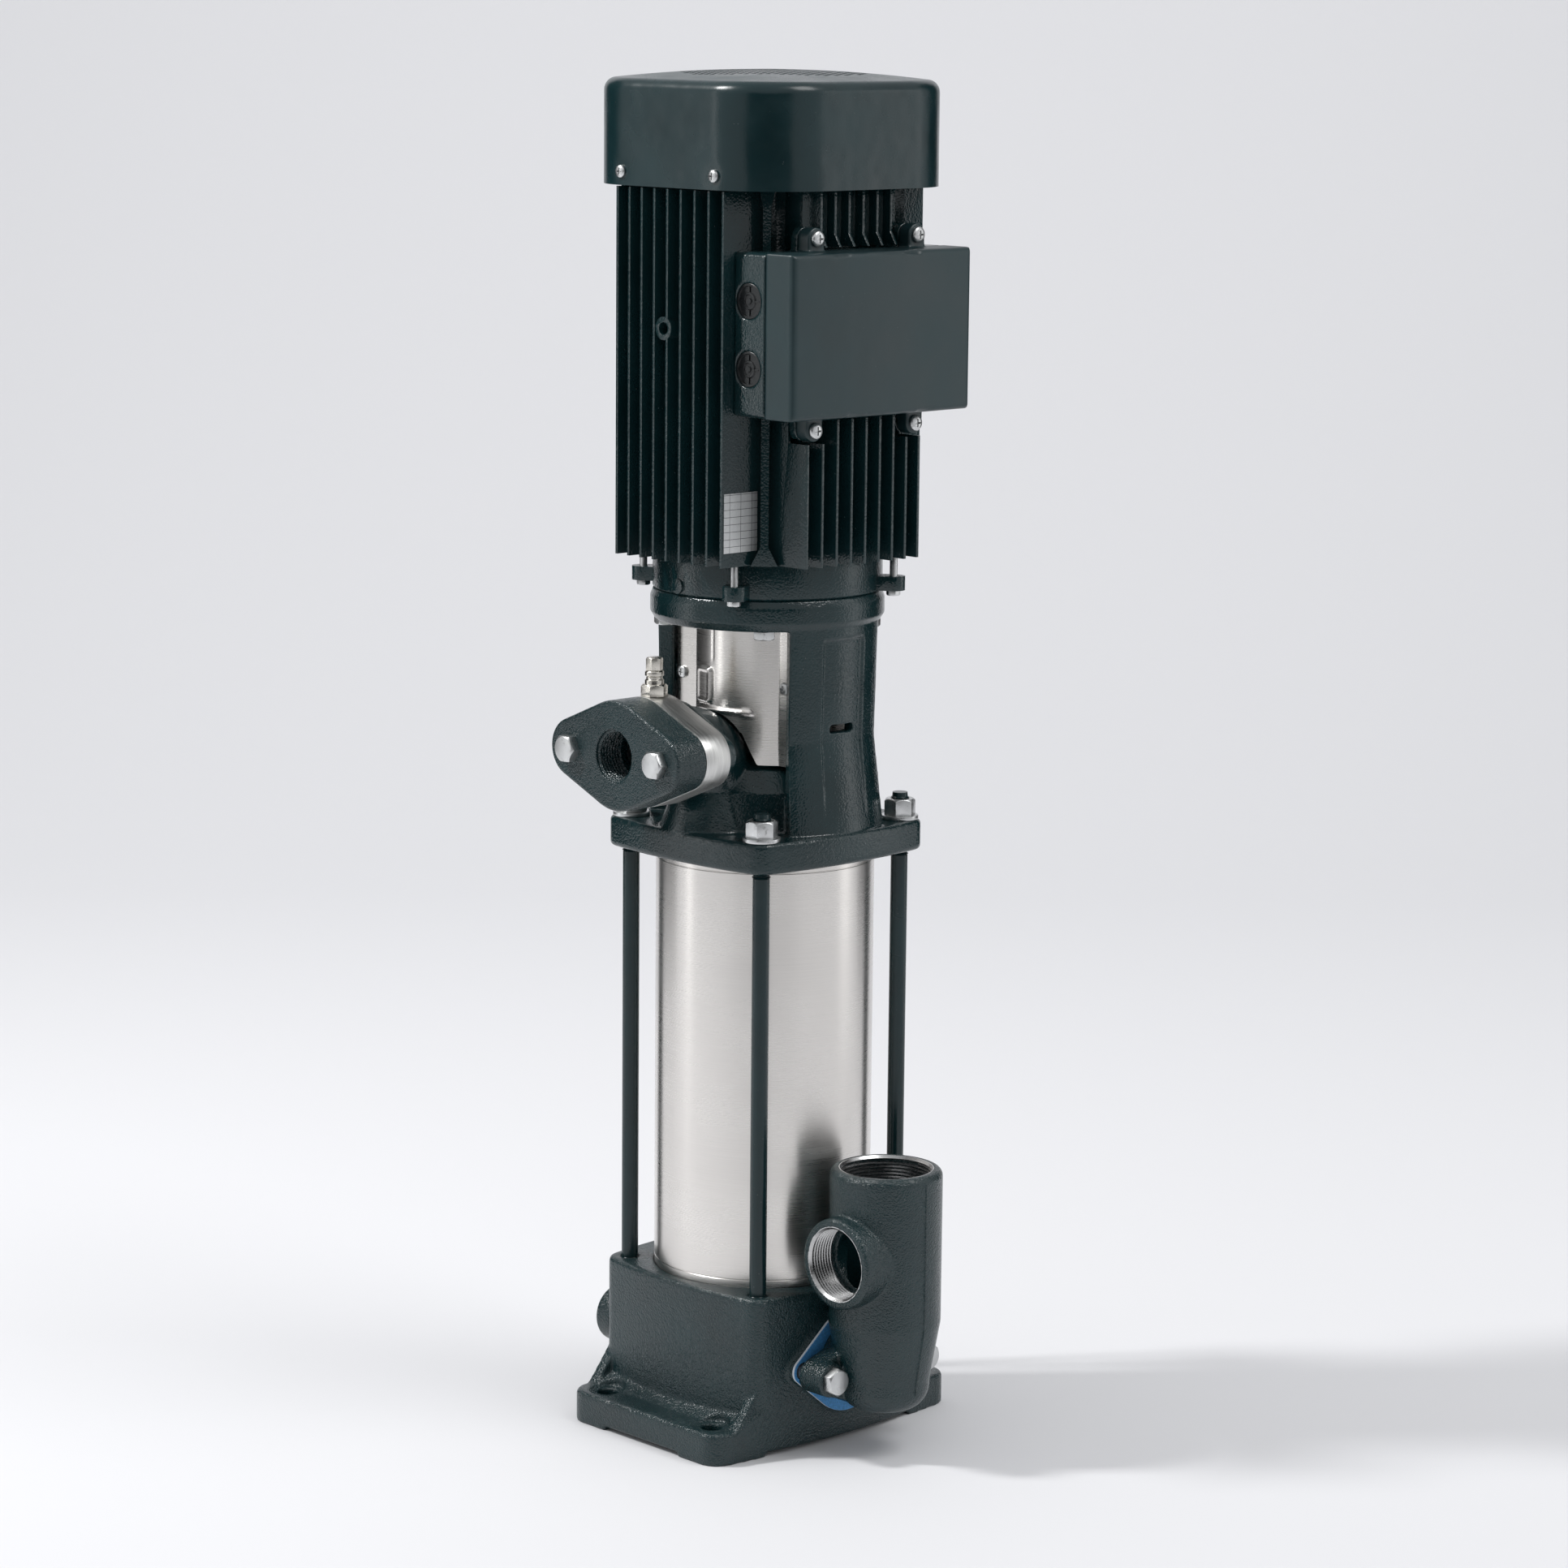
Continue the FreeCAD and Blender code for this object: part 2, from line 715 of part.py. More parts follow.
def port_gaskets():
    """Sheet gaskets on the two base ports."""
    hole = flange_bolt_radius + bolt_hole_clearance
    sheet = oval_plate(port_pad_half_height, port_pad_ear_radius, gasket_thickness,
                       port_passage_radius, hole)
    return {"suction_gasket": on_port(sheet, port_face_x, 1),
            "blind_gasket": on_port(sheet, -port_face_x, -1)}


def suction_elbow():
    """Two-way elbow: upright barrel, side socket, rounded heel and two relieved bolt ears."""
    barrel = turned([(0, elbow_bottom_z), (elbow_heel_radius - 1, elbow_bottom_z),
                     (elbow_heel_radius, elbow_heel_z), (elbow_radius, elbow_taper_start_z),
                     (elbow_radius, elbow_top_z), (0, elbow_top_z)], elbow_axis_x)
    barrel = barrel.makeFillet(elbow_rim_rounding, edges_at(barrel, elbow_top_z))
    barrel = barrel.makeFillet(elbow_heel_rounding, edges_at(barrel, elbow_bottom_z))
    neck_length = elbow_axis_x - elbow_face_x
    neck = cylinder(elbow_neck_radius, neck_length, (elbow_face_x, 0, port_z), (1, 0, 0))
    above_floor = block((0, -elbow_axis_x, elbow_bottom_z), (2 * elbow_axis_x, elbow_axis_x, elbow_top_z))
    solids = [barrel, neck.common(above_floor)]
    socket = cylinder(side_port_radius, -side_port_face_y, (elbow_axis_x, 0, side_port_z), (0, -1, 0))
    rounding = [edge for edge in socket.Edges if edge.BoundBox.YMax < side_port_face_y + 0.1]
    solids.append(socket.makeFillet(side_port_rounding, rounding))
    for side in (1, -1):
        solids.append(cylinder(elbow_ear_radius, elbow_ear_length,
                               (elbow_ear_start_x, side * oval_ear_offset, port_z), (1, 0, 0)))
    web = oval_outline(elbow_neck_radius - elbow_arm_inset, oval_ear_offset, elbow_ear_radius)
    arm = extruded(web, (0, 0, elbow_ear_length - 4))
    solids.append(on_port(arm, elbow_ear_start_x, 1).common(above_floor))
    elbow = joined(solids)
    elbow = elbow.cut(block((0, -elbow_axis_x, 0), (elbow_face_x, elbow_axis_x, elbow_flat_top_z)))
    elbow = elbow.cut(cylinder(top_thread_radius, top_thread_length,
                               (elbow_axis_x, 0, elbow_top_z), (0, 0, -1)))
    wide_length = elbow_top_z - top_thread_length - elbow_taper_start_z
    elbow = elbow.cut(cylinder(elbow_passage_radius, wide_length,
                               (elbow_axis_x, 0, elbow_taper_start_z)))
    elbow = elbow.cut(cylinder(port_passage_radius, elbow_taper_start_z - port_z,
                               (elbow_axis_x, 0, port_z)))
    elbow = elbow.cut(Part.makeSphere(port_passage_radius, Vector(elbow_axis_x, 0, port_z)))
    elbow = elbow.cut(cylinder(port_passage_radius, neck_length, (elbow_face_x, 0, port_z), (1, 0, 0)))
    elbow = elbow.cut(cylinder(side_passage_radius, -side_port_face_y,
                               (elbow_axis_x, side_port_face_y, side_port_z), (0, 1, 0)))
    elbow = elbow.cut(cylinder(side_thread_radius, side_thread_length,
                               (elbow_axis_x, side_port_face_y, side_port_z), (0, 1, 0)))
    hole = flange_bolt_radius + bolt_hole_clearance
    for side in (1, -1):
        elbow = elbow.cut(cylinder(hole, elbow_axis_x, (elbow_face_x, side * oval_ear_offset, port_z),
                                   (1, 0, 0)))
    return elbow


def elbow_bolts():
    """Bolts through the elbow's ears into the base."""
    shank = elbow_ear_end_x - port_face_x + flange_bolt_engagement
    bolts = []
    for side in (1, -1):
        start = (elbow_ear_end_x, side * oval_ear_offset, port_z)
        bolts.append(hex_bolt(flange_bolt_radius, flange_bolt_flats, flange_bolt_head, shank,
                              start, (1, 0, 0)))
    return bolts


def blind_flange():
    """Plate that closes the unused base port."""
    hole = flange_bolt_radius + bolt_hole_clearance
    plate = oval_plate(oval_half_height, oval_ear_radius, blind_flange_thickness, 0, hole)
    plate = plate.makeFillet(2.0, [edge for edge in edges_at(plate, blind_flange_thickness)
                                   if edge.BoundBox.DiagonalLength > 3 * hole])
    return on_port(plate, -port_face_x - gasket_thickness, -1)


def blind_bolts():
    """Bolts through the blind flange into the base."""
    head_x = -port_face_x - gasket_thickness - blind_flange_thickness
    shank = blind_flange_thickness + gasket_thickness + flange_bolt_engagement
    bolts = []
    for side in (1, -1):
        start = (head_x, side * oval_ear_offset, port_z)
        bolts.append(hex_bolt(flange_bolt_radius, flange_bolt_flats, flange_bolt_head, shank,
                              start, (-1, 0, 0)))
    return bolts


def outer_sleeve():
    """Stainless tube clamped between base and head."""
    return tube(sleeve_outer_radius, sleeve_inner_radius, sleeve_bottom_z, sleeve_top_z)


def sleeve_seals():
    """Seal rings inside both ends of the sleeve."""
    outer = sleeve_inner_radius - 0.1
    inner = outer - sleeve_seal_width
    return [tube(outer, inner, sleeve_bottom_z, sleeve_bottom_z + sleeve_seal_height),
            tube(outer, inner, sleeve_top_z - sleeve_seal_height, sleeve_top_z)]


def stay_bolts():
    """Four long studs with rolled threads at both ends."""
    bottom = base_top_z - stay_thread_engagement
    nut_top = head_top_z + stay_washer_thickness + stay_nut_height
    top = nut_top + stay_proud
    thread = stay_thread_radius - thread_clearance
    upper = head_bottom_z - 4
    studs = []
    for x, y in stay_points():
        studs.append(turned([(0, bottom), (thread, bottom), (thread, base_top_z - 1),
                             (stay_pitch_diameter / 2, base_top_z - 1),
                             (stay_pitch_diameter / 2, upper), (thread, upper), (thread, top - 1),
                             (thread - 1, top), (0, top)], x, y))
    return studs


def stay_washers():
    """Washers under the stay nuts."""
    washers = []
    for x, y in stay_points():
        ring = cylinder(stay_washer_radius, stay_washer_thickness, (x, y, head_top_z))
        hole = cylinder(stay_thread_radius + slip_clearance, stay_washer_thickness, (x, y, head_top_z))
        washers.append(ring.cut(hole))
    return washers


def stay_nuts():
    """Nuts on the stay bolts."""
    nuts = []
    for x, y in stay_points():
        start = (x, y, head_top_z + stay_washer_thickness)
        nuts.append(hexagon_prism(stay_nut_flats, stay_nut_height, start, up, stay_thread_radius))
    return nuts


def column_sector(inner_profile, half_angle):
    """Part of a turned ring that lies within an angle either side of the X axis, both ways."""
    side = cutter_length * math.tan(math.radians(half_angle))
    sectors = []
    for reach in (cutter_length, -cutter_length):
        corners = [Vector(0, 0, head_bottom_z), Vector(reach, -side, head_bottom_z),
                   Vector(reach, side, head_bottom_z), Vector(0, 0, head_bottom_z)]
        wedge = Part.Face(Part.makePolygon(corners)).extrude(Vector(0, 0, cutter_length))
        sectors.append(inner_profile.common(wedge))
    return sectors


def head_columns():
    """Two flared columns with a recessed panel, from the head flange to the motor ring."""
    ring = turned([(column_inner_radius, head_top_z - 2), (column_foot_radius, head_top_z - 2),
                   (column_waist_radius, column_waist_z),
                   (column_outer_radius, motor_ring_bottom_z + 2),
                   (column_inner_radius, motor_ring_bottom_z + 2)])
    panel = turned([(column_foot_radius - column_panel_depth, head_top_z + 10),
                    (column_foot_radius + 5, head_top_z + 10),
                    (column_outer_radius + 5, motor_ring_bottom_z - 6),
                    (column_outer_radius - column_panel_depth, motor_ring_bottom_z - 6),
                    (column_waist_radius - column_panel_depth, column_waist_z)])
    columns = column_sector(ring, column_half_angle)
    panels = column_sector(panel, column_panel_half_angle)
    slot = block((-cutter_length, -column_slot_width / 2, column_slot_z),
                 (cutter_length, column_slot_width / 2, column_slot_z + column_slot_height))
    return [column.cut(recess).cut(slot) for column, recess in zip(columns, panels)]


def discharge_neck(radius, straight_end):
    """Bent pipe of one radius from the head chamber up and out to the discharge face."""
    bend_z = discharge_z - neck_bend_radius
    rise = cylinder(radius, bend_z - head_top_z + 4, (0, neck_root_y, head_top_z - 4))
    profile = Part.Face(Part.Wire(Part.makeCircle(radius, Vector(0, neck_root_y, bend_z), up)))
    pivot = Vector(0, neck_root_y - neck_bend_radius, bend_z)
    bend = profile.revolve(pivot, Vector(1, 0, 0), 90)
    mouth_y = neck_root_y - neck_bend_radius
    run = cylinder(radius, mouth_y - straight_end, (0, mouth_y, discharge_z), (0, -1, 0))
    return joined([rise, bend, run])


def guard_lugs():
    """Lugs on the columns' inner faces that carry the coupling guards."""
    lugs = []
    screw_x = guard_end_x - guard_screw_inset
    low_z = guard_screw_z - guard_lug_height / 2
    for side_y in (1, -1):
        face = -side_y * guard_end_y
        low_y, high_y = sorted((face, face - side_y * guard_lug_depth))
        for side_x in (1, -1):
            low_x, high_x = sorted((side_x * (screw_x - 4), side_x * (screw_x + guard_lug_reach)))
            lug = block((low_x, low_y, low_z), (high_x, high_y, low_z + guard_lug_height))
            hole = cylinder(guard_screw_radius, guard_screw_length, (side_x * screw_x, face, guard_screw_z),
                            (0, -side_y, 0))
            lugs.append(lug.cut(hole))
    return lugs


def head_stool():
    """Pump head casting: flange, domed chamber, bent discharge neck, columns, motor ring."""
    flange = extruded(stay_outline(head_bottom_z), (0, 0, head_flange_thickness))
    rims = edges_at(flange, head_bottom_z) + edges_at(flange, head_top_z)
    flange = flange.makeFillet(head_edge_rounding, rims)
    dome = turned([(0, head_top_z - 4), (dome_radius + 4, head_top_z - 4),
                   (dome_radius + 2, head_top_z + 4), (dome_radius - 2, dome_shoulder_z),
                   (dome_radius - 12, dome_top_z - 5), (seal_collar_radius + 6, dome_top_z),
                   (seal_collar_radius, dome_top_z + 2), (seal_collar_radius, seal_collar_top_z),
                   (0, seal_collar_top_z)])
    bead = (motor_ring_top_z - motor_ring_bottom_z) / 4
    ring = turned([(motor_spigot_radius, motor_ring_bottom_z),
                   (column_outer_radius - 1, motor_ring_bottom_z),
                   (motor_ring_radius, motor_ring_bottom_z + bead),
                   (motor_ring_radius, motor_ring_top_z - bead),
                   (column_outer_radius, motor_ring_top_z), (motor_spigot_radius, motor_ring_top_z)])
    ear = extruded(oval_outline(neck_flange_half_height, oval_ear_offset, neck_flange_ear_radius),
                   (0, 0, neck_flange_thickness))
    neck_flange = on_discharge(ear, neck_face_y + neck_flange_thickness)
    neck = discharge_neck(neck_radius, neck_face_y)
    saddle_foot = Part.makeCone(neck_radius + neck_saddle_flare, neck_radius, neck_saddle_height,
                                Vector(0, neck_root_y, head_top_z - 1))
    casting = joined([flange, dome, ring, neck, saddle_foot, neck_flange] + head_columns()
                     + guard_lugs())
    chamber = turned([(0, head_bottom_z), (sleeve_outer_radius + slip_clearance, head_bottom_z),
                      (sleeve_outer_radius + slip_clearance, sleeve_top_z),
                      (dome_radius - dome_wall, sleeve_top_z),
                      (dome_radius - dome_wall, dome_shoulder_z - dome_wall),
                      (seal_collar_radius, dome_top_z - dome_wall), (0, dome_top_z - dome_wall)])
    casting = casting.cut(chamber)
    passage = discharge_neck(neck_bore_radius, neck_face_y)
    casting = casting.cut(passage)
    casting = casting.cut(cylinder(seal_lip_radius, stool_height, (0, 0, dome_top_z - dome_wall)))
    casting = casting.cut(cylinder(seal_bore_radius, stool_height, (0, 0, seal_seat_z)))
    hole = stay_thread_radius + bolt_hole_clearance
    for x, y in stay_points():
        casting = casting.cut(cylinder(hole, cutter_length, (x, y, head_bottom_z)))
    for side in (1, -1):
        casting = casting.cut(cylinder(flange_bolt_radius, neck_flange_thickness,
                                       (side * oval_ear_offset, neck_face_y, discharge_z), (0, 1, 0)))
    motor_hole = motor_bolt_radius + bolt_hole_clearance
    drill = cylinder(motor_hole, motor_ring_height, (motor_bolt_circle_radius, 0, motor_ring_bottom_z))
    for tool in around(drill, 4, 45):
        casting = casting.cut(tool)
    return casting


def vent_flange():
    """Bare steel flange between neck and counter flange, tapped on top for the vent."""
    hole = flange_bolt_radius + bolt_hole_clearance
    plate = oval_plate(oval_half_height, oval_ear_radius, vent_flange_thickness, neck_bore_radius, hole)
    plate = on_discharge(plate, neck_face_y)
    stub = vent_stub_radius + thread_clearance
    length = vent_stub_length + 1
    plate = plate.cut(cylinder(stub, length, (0, vent_y, vent_base_z), (0, 0, -1)))
    return plate.cut(cylinder(2.0, oval_half_height, (0, vent_y, vent_base_z), (0, 0, -1)))


def counter_flange():
    """Painted oval flange with the discharge's pipe thread."""
    hole = flange_bolt_radius + bolt_hole_clearance
    depth = counter_flange_thickness
    plate = oval_plate(oval_half_height, oval_ear_radius, depth, neck_bore_radius - 3, hole)
    rim = [edge for edge in edges_at(plate, depth) if edge.BoundBox.DiagonalLength > 3 * hole]
    plate = plate.makeFillet(2.0, [edge for edge in rim if abs(edge.BoundBox.Center.y) > 0.5
                                   or edge.BoundBox.Center.x ** 2 > 100])
    socket = depth - discharge_thread_length
    plate = plate.cut(cylinder(discharge_thread_radius, discharge_thread_length, (0, 0, socket)))
    return on_discharge(plate, vent_flange_face_y)


def counter_flange_bolts():
    """Bolts through both discharge flanges into the neck's ears."""
    shank = counter_flange_thickness + vent_flange_thickness + neck_flange_thickness
    bolts = []
    for side in (1, -1):
        start = (side * oval_ear_offset, counter_flange_face_y, discharge_z)
        bolts.append(hex_bolt(flange_bolt_radius, flange_bolt_flats, flange_bolt_head, shank,
                              start, (0, -1, 0)))
    return bolts


def vent_body():
    """Vent valve body: threaded stub, hexagon and grooved barrel with a drilled seat."""
    stub = cylinder(vent_stub_radius, vent_stub_length, (0, 0, -vent_stub_length))
    hexagon = hexagon_prism(vent_hex_flats, vent_hex_height, (0, 0, 0))
    groove = vent_barrel_radius - vent_groove_depth
    top = vent_hex_height + vent_barrel_height
    barrel = turned([(0, vent_hex_height - 0.5), (vent_barrel_radius, vent_hex_height - 0.5),
                     (vent_barrel_radius, vent_hex_height + 2.5), (groove, vent_hex_height + 3.2),
                     (groove, vent_hex_height + 4.6), (vent_barrel_radius, vent_hex_height + 5.3),
                     (vent_barrel_radius, top - 0.8), (vent_barrel_radius - 0.8, top), (0, top)])
    body = joined([stub, hexagon, barrel])
    bore_depth = vent_spindle_length + 1
    body = body.cut(cylinder(vent_spindle_radius + running_clearance, bore_depth, (0, 0, top),
                             (0, 0, -1)))
    body.translate(Vector(0, vent_y, vent_base_z))
    body = body.cut(cylinder(vent_needle_radius + running_clearance, cutter_length,
                             (0, vent_y, vent_seat_z())))
    return body.cut(cylinder(vent_drill_radius, cutter_length, (0, vent_y, vent_seat_z()), (0, 0, -1)))


def vent_seat_z():
    """Height of the seat edge, where the shut needle's tip closes the drilling."""
    taper = (vent_needle_radius - vent_drill_radius + running_clearance)
    drop = taper / (vent_needle_radius - vent_tip_radius) * vent_tip_length
    return vent_spindle_bottom_z - vent_needle_length - drop


def vent_cap():
    """Small hexagon cap on a screwed spindle."""
    head = hexagon_prism(vent_cap_flats, vent_cap_height, (0, vent_y, vent_top_z + vent_cap_gap))
    length = vent_spindle_length + vent_cap_gap
    return joined([head, cylinder(vent_spindle_radius, length, (0, vent_y, vent_spindle_bottom_z))])


def vent_needle():
    """Needle under the spindle that shuts the vent's drilling."""
    top = vent_spindle_bottom_z
    needle = cylinder(vent_needle_radius, vent_needle_length, (0, vent_y, top), (0, 0, -1))
    tip = Part.makeCone(vent_needle_radius, vent_tip_radius, vent_tip_length,
                        Vector(0, vent_y, top - vent_needle_length), Vector(0, 0, -1))
    return joined([needle, tip])


def inlet_guide():
    """Perforated support under the first stage, carrying the lower bearing."""
    outer = sleeve_inner_radius - 0.1 - sleeve_seal_width - 0.1
    shelf = sleeve_bottom_z + sleeve_seal_height
    support = chamber_radius
    bore = pump_shaft_radius + bearing_wall
    guide = turned([(bore, sleeve_bottom_z), (outer, sleeve_bottom_z),
                    (outer, shelf), (support, shelf + 1), (support, stack_bottom_z),
                    (support - 5, stack_bottom_z), (support - 5, shelf + 1),
                    (bore + 4, shelf + 1), (bore + 4, stack_bottom_z - 3), (bore, stack_bottom_z - 3)])
    middle = (bore + 4 + support - 5) / 2
    window = cylinder(inlet_window_radius, stage_pitch, (middle, 0, sleeve_bottom_z - 5))
    for tool in around(window, inlet_window_count):
        guide = guide.cut(tool)
    return guide


def lower_bearing():
    """Plain bearing for the pump shaft's lower end."""
    return tube(pump_shaft_radius + bearing_wall - 0.02, pump_shaft_radius + running_clearance,
                sleeve_bottom_z, stack_bottom_z - 3)


def stage_chambers():
    """Stage chambers stacked rim on floor, each with guide vanes above its floor."""
    chambers = []
    throat = impeller_hub_radius + stage_neck_clearance
    inner = chamber_radius - chamber_wall
    for stage in range(stage_count):
        bottom = stack_bottom_z + stage * stage_pitch
        top = bottom + stage_pitch
        cup = turned([(chamber_radius, bottom), (chamber_radius, top), (throat, top),
                      (throat, top - chamber_wall), (inner, top - chamber_wall), (inner, bottom)])
        half = guide_vane_thickness / 2
        vane = block((throat + 6, -half, top - chamber_wall - guide_vane_height),
                     (inner + 0.5, half, top - chamber_wall + 0.5))
        chambers.append(joined([cup] + around(vane, guide_vane_count)))
    return chambers


def stack_clamp_ring():
    """Ring that passes the head's clamping force to the top stage."""
    return tube(chamber_radius, chamber_radius - clamp_ring_wall, stack_top_z, sleeve_top_z)


def impellers():
    """Closed impellers with swept blades, whose hubs stand on each other along the shaft."""
    wheels = []
    inner_arc = impeller_eye_radius + 1
    for stage in range(stage_count):
        hub_bottom = stack_bottom_z + stage * stage_pitch
        bottom = hub_bottom + impeller_lift
        top = bottom + impeller_height
        back = turned([(pump_shaft_radius, hub_bottom), (impeller_hub_radius, hub_bottom),
                       (impeller_hub_radius, top - impeller_shroud),
                       (impeller_radius, top - impeller_shroud), (impeller_radius, top),
                       (impeller_hub_radius, top), (impeller_hub_radius, hub_bottom + stage_pitch),
                       (pump_shaft_radius, hub_bottom + stage_pitch)])
        front = tube(impeller_radius, impeller_eye_radius, bottom, bottom + impeller_shroud)
        blade = impeller_blade(inner_arc, bottom + impeller_shroud / 2, top - impeller_shroud / 2)
        wheels.append(joined([back, front] + around(blade, impeller_blade_count)))
    return wheels


def impeller_blade(inner_arc, bottom, top):
    """One backward-swept blade between two arcs."""
    outer = impeller_radius - 0.5
    sweep = math.radians(impeller_blade_sweep)
    middle = (inner_arc + outer) / 2
    half = impeller_blade_thickness / 2
    start = Vector(inner_arc, 0, bottom)
    mid = Vector(middle * math.cos(sweep * 0.4), middle * math.sin(sweep * 0.4), bottom)
    end = Vector(outer * math.cos(sweep), outer * math.sin(sweep), bottom)
    edges = []
    shift = Vector(half, -half, 0)
    edges.append(Part.Arc(start - shift, mid - shift, end - shift).toShape())
    edges.append(Part.makeLine(end - shift, end + shift))
    edges.append(Part.Arc(end + shift, mid + shift, start + shift).toShape())
    edges.append(Part.makeLine(start + shift, start - shift))
    return extruded(edges, (0, 0, top - bottom))


def pump_shaft():
    """Pump shaft from the lower bearing to the coupling."""
    bottom = sleeve_bottom_z - 6
    top = shaft_meeting_z - shaft_end_gap / 2
    shaft = cylinder(pump_shaft_radius - 0.02, top - bottom, (0, 0, bottom))
    return shaft.cut(cylinder(shaft_pin_radius, 4 * pump_shaft_radius,
                              (-2 * pump_shaft_radius, 0, shaft_pin_z), (1, 0, 0)))


def shaft_pin():
    """Cross pin that carries the pump shaft in the coupling."""
    length = 2 * (pump_shaft_radius + shaft_pin_bite)
    return cylinder(shaft_pin_radius - 0.02, length, (-length / 2, 0, shaft_pin_z), (1, 0, 0))


def seal_parts():
    """Stationary seat in the head and the spring-loaded ring that turns on the shaft."""
    face_z = seal_seat_z + seal_seat_height
    seat = tube(seal_bore_radius - running_clearance, pump_shaft_radius + 1, seal_seat_z, face_z)
    ring = tube(pump_shaft_radius + seal_ring_wall, pump_shaft_radius, face_z,
                face_z + seal_ring_height)
    return {"seal_seat": seat, "seal_ring": ring}


def coupling_half(side):
    """Half of the split coupling, clear of its partner by the gap."""
    bore = turned([(0, coupling_bottom_z), (pump_shaft_radius, coupling_bottom_z),
                   (pump_shaft_radius, shaft_meeting_z), (motor_shaft_radius, shaft_meeting_z),
                   (motor_shaft_radius, coupling_top_z), (0, coupling_top_z)])
    rounding = coupling_rounding
    body = turned([(0, coupling_bottom_z), (coupling_radius - rounding, coupling_bottom_z),
                   (coupling_radius, coupling_bottom_z + rounding),
                   (coupling_radius, coupling_top_z - rounding),
                   (coupling_radius - rounding, coupling_top_z), (0, coupling_top_z)])
    half = body.cut(bore)
    reach = 2 * coupling_radius
    low, high = sorted((side * coupling_gap / 2, side * reach))
    half = half.common(block((-reach, low, coupling_bottom_z), (reach, high, coupling_top_z)))
    pin_half = pump_shaft_radius + shaft_pin_bite
    half = half.cut(cylinder(shaft_pin_radius, 2 * pin_half, (-pin_half, 0, shaft_pin_z), (1, 0, 0)))
    head_hole = coupling_screw_head_radius + 2 * slip_clearance
    for x, z in coupling_screw_places():
        half = half.cut(cylinder(coupling_screw_radius + thread_clearance, 2 * reach, (x, -reach, z),
                                 (0, 1, 0)))
        half = half.cut(cylinder(head_hole, reach, (x, -coupling_screw_seat, z), (0, -1, 0)))
    return half


def coupling_screw_places():
    """Across and height of the four clamping screws."""
    inset = coupling_screw_from_end
    heights = (coupling_bottom_z + inset, coupling_top_z - inset)
    return [(side * coupling_screw_offset, z) for side in (1, -1) for z in heights]


def coupling_screws():
    """Cap screws that clamp the coupling halves on both shafts."""
    screws = []
    length = coupling_screw_seat + coupling_screw_grip
    for x, z in coupling_screw_places():
        seat = (x, -coupling_screw_seat, z)
        shank = cylinder(coupling_screw_radius, length, seat, (0, 1, 0))
        head = cylinder(coupling_screw_head_radius, coupling_screw_head, seat, (0, -1, 0))
        screws.append(joined([shank, head]))
    return screws


def guard_line(offset):
    """Corner points of the guard sheet's line in plan, moved outwards by an offset."""
    y = guard_end_y - offset
    step_y = y - guard_step_depth
    left = Vector(-guard_end_x, y, guard_bottom_z)
    bend = Vector(guard_left_strip - guard_end_x - offset, y, guard_bottom_z)
    step = Vector(guard_left_strip + guard_step_run - guard_end_x - offset, step_y, guard_bottom_z)
    right_bend = Vector(guard_end_x - guard_right_strip + offset, y, guard_bottom_z)
    crown = Vector((step.x + right_bend.x) / 2, y - guard_crown_depth, guard_bottom_z)
    right = Vector(guard_end_x, y, guard_bottom_z)
    return [left, bend, step, crown, right_bend, right]


def guard_sheet():
    """Bent sheet over a window: flat strip, slanted step, curved middle and narrow strip."""
    inner = guard_line(0.0)
    outer = guard_line(guard_thickness)
    edges = [Part.makeLine(inner[5], outer[5]), Part.makeLine(outer[0], inner[0])]
    for points in (inner, outer):
        edges.append(Part.makeLine(points[0], points[1]))
        edges.append(Part.makeLine(points[1], points[2]))
        edges.append(Part.Arc(points[2], points[3], points[4]).toShape())
        edges.append(Part.makeLine(points[4], points[5]))
    height = motor_ring_bottom_z - guard_top_gap - guard_bottom_z
    sheet = extruded(Part.__sortEdges__(edges), (0, 0, height))
    screw_x = guard_end_x - guard_screw_inset
    hole = guard_screw_radius + slip_clearance
    for side in (1, -1):
        start = (side * screw_x, guard_end_y + guard_thickness, guard_screw_z)
        sheet = sheet.cut(cylinder(hole, 3 * guard_thickness, start, (0, -1, 0)))
    return sheet


def guard_crown(offset):
    """Centre and radius of the sheet's curved middle, moved outwards by an offset."""
    points = guard_line(offset)
    circle = Part.Arc(points[2], points[3], points[4]).toShape().Curve
    return circle.Center, circle.Radius


def guard_pressings():
    """Pressed box and pressed bead that stand out from the curved middle."""
    centre, radius = guard_crown(guard_thickness)
    turn = math.acos((guard_box_x - centre.x) / radius)
    face_y = centre.y - radius * math.sin(turn)
    middle_z = guard_bottom_z + guard_box_rise
    box = block((-guard_box_half_width, -guard_box_depth, -guard_box_half_height),
                (guard_box_half_width, guard_box_depth, guard_box_half_height))
    box = box.makeFillet(guard_box_rounding, [edge for edge in box.Edges if edge.BoundBox.YMin < 0])
    box.rotate(Vector(0, 0, 0), up, math.degrees(math.pi / 2 - turn))
    box.translate(Vector(guard_box_x, face_y, middle_z))
    bead_z = guard_bottom_z + guard_bead_rise
    bead = Part.makeTorus(radius, guard_bead_radius, Vector(centre.x, centre.y, bead_z), up)
    keep = block((guard_bead_from, -cutter_length, bead_z - guard_bead_radius),
                 (guard_bead_to, centre.y, bead_z + guard_bead_radius))
    inner_centre, inner_radius = guard_crown(guard_thickness / 2)
    behind = cylinder(inner_radius, guard_crown_depth + guard_box_half_height * 4,
                      (inner_centre.x, inner_centre.y, guard_bottom_z))
    return [box.cut(behind), bead.common(keep).cut(behind)]


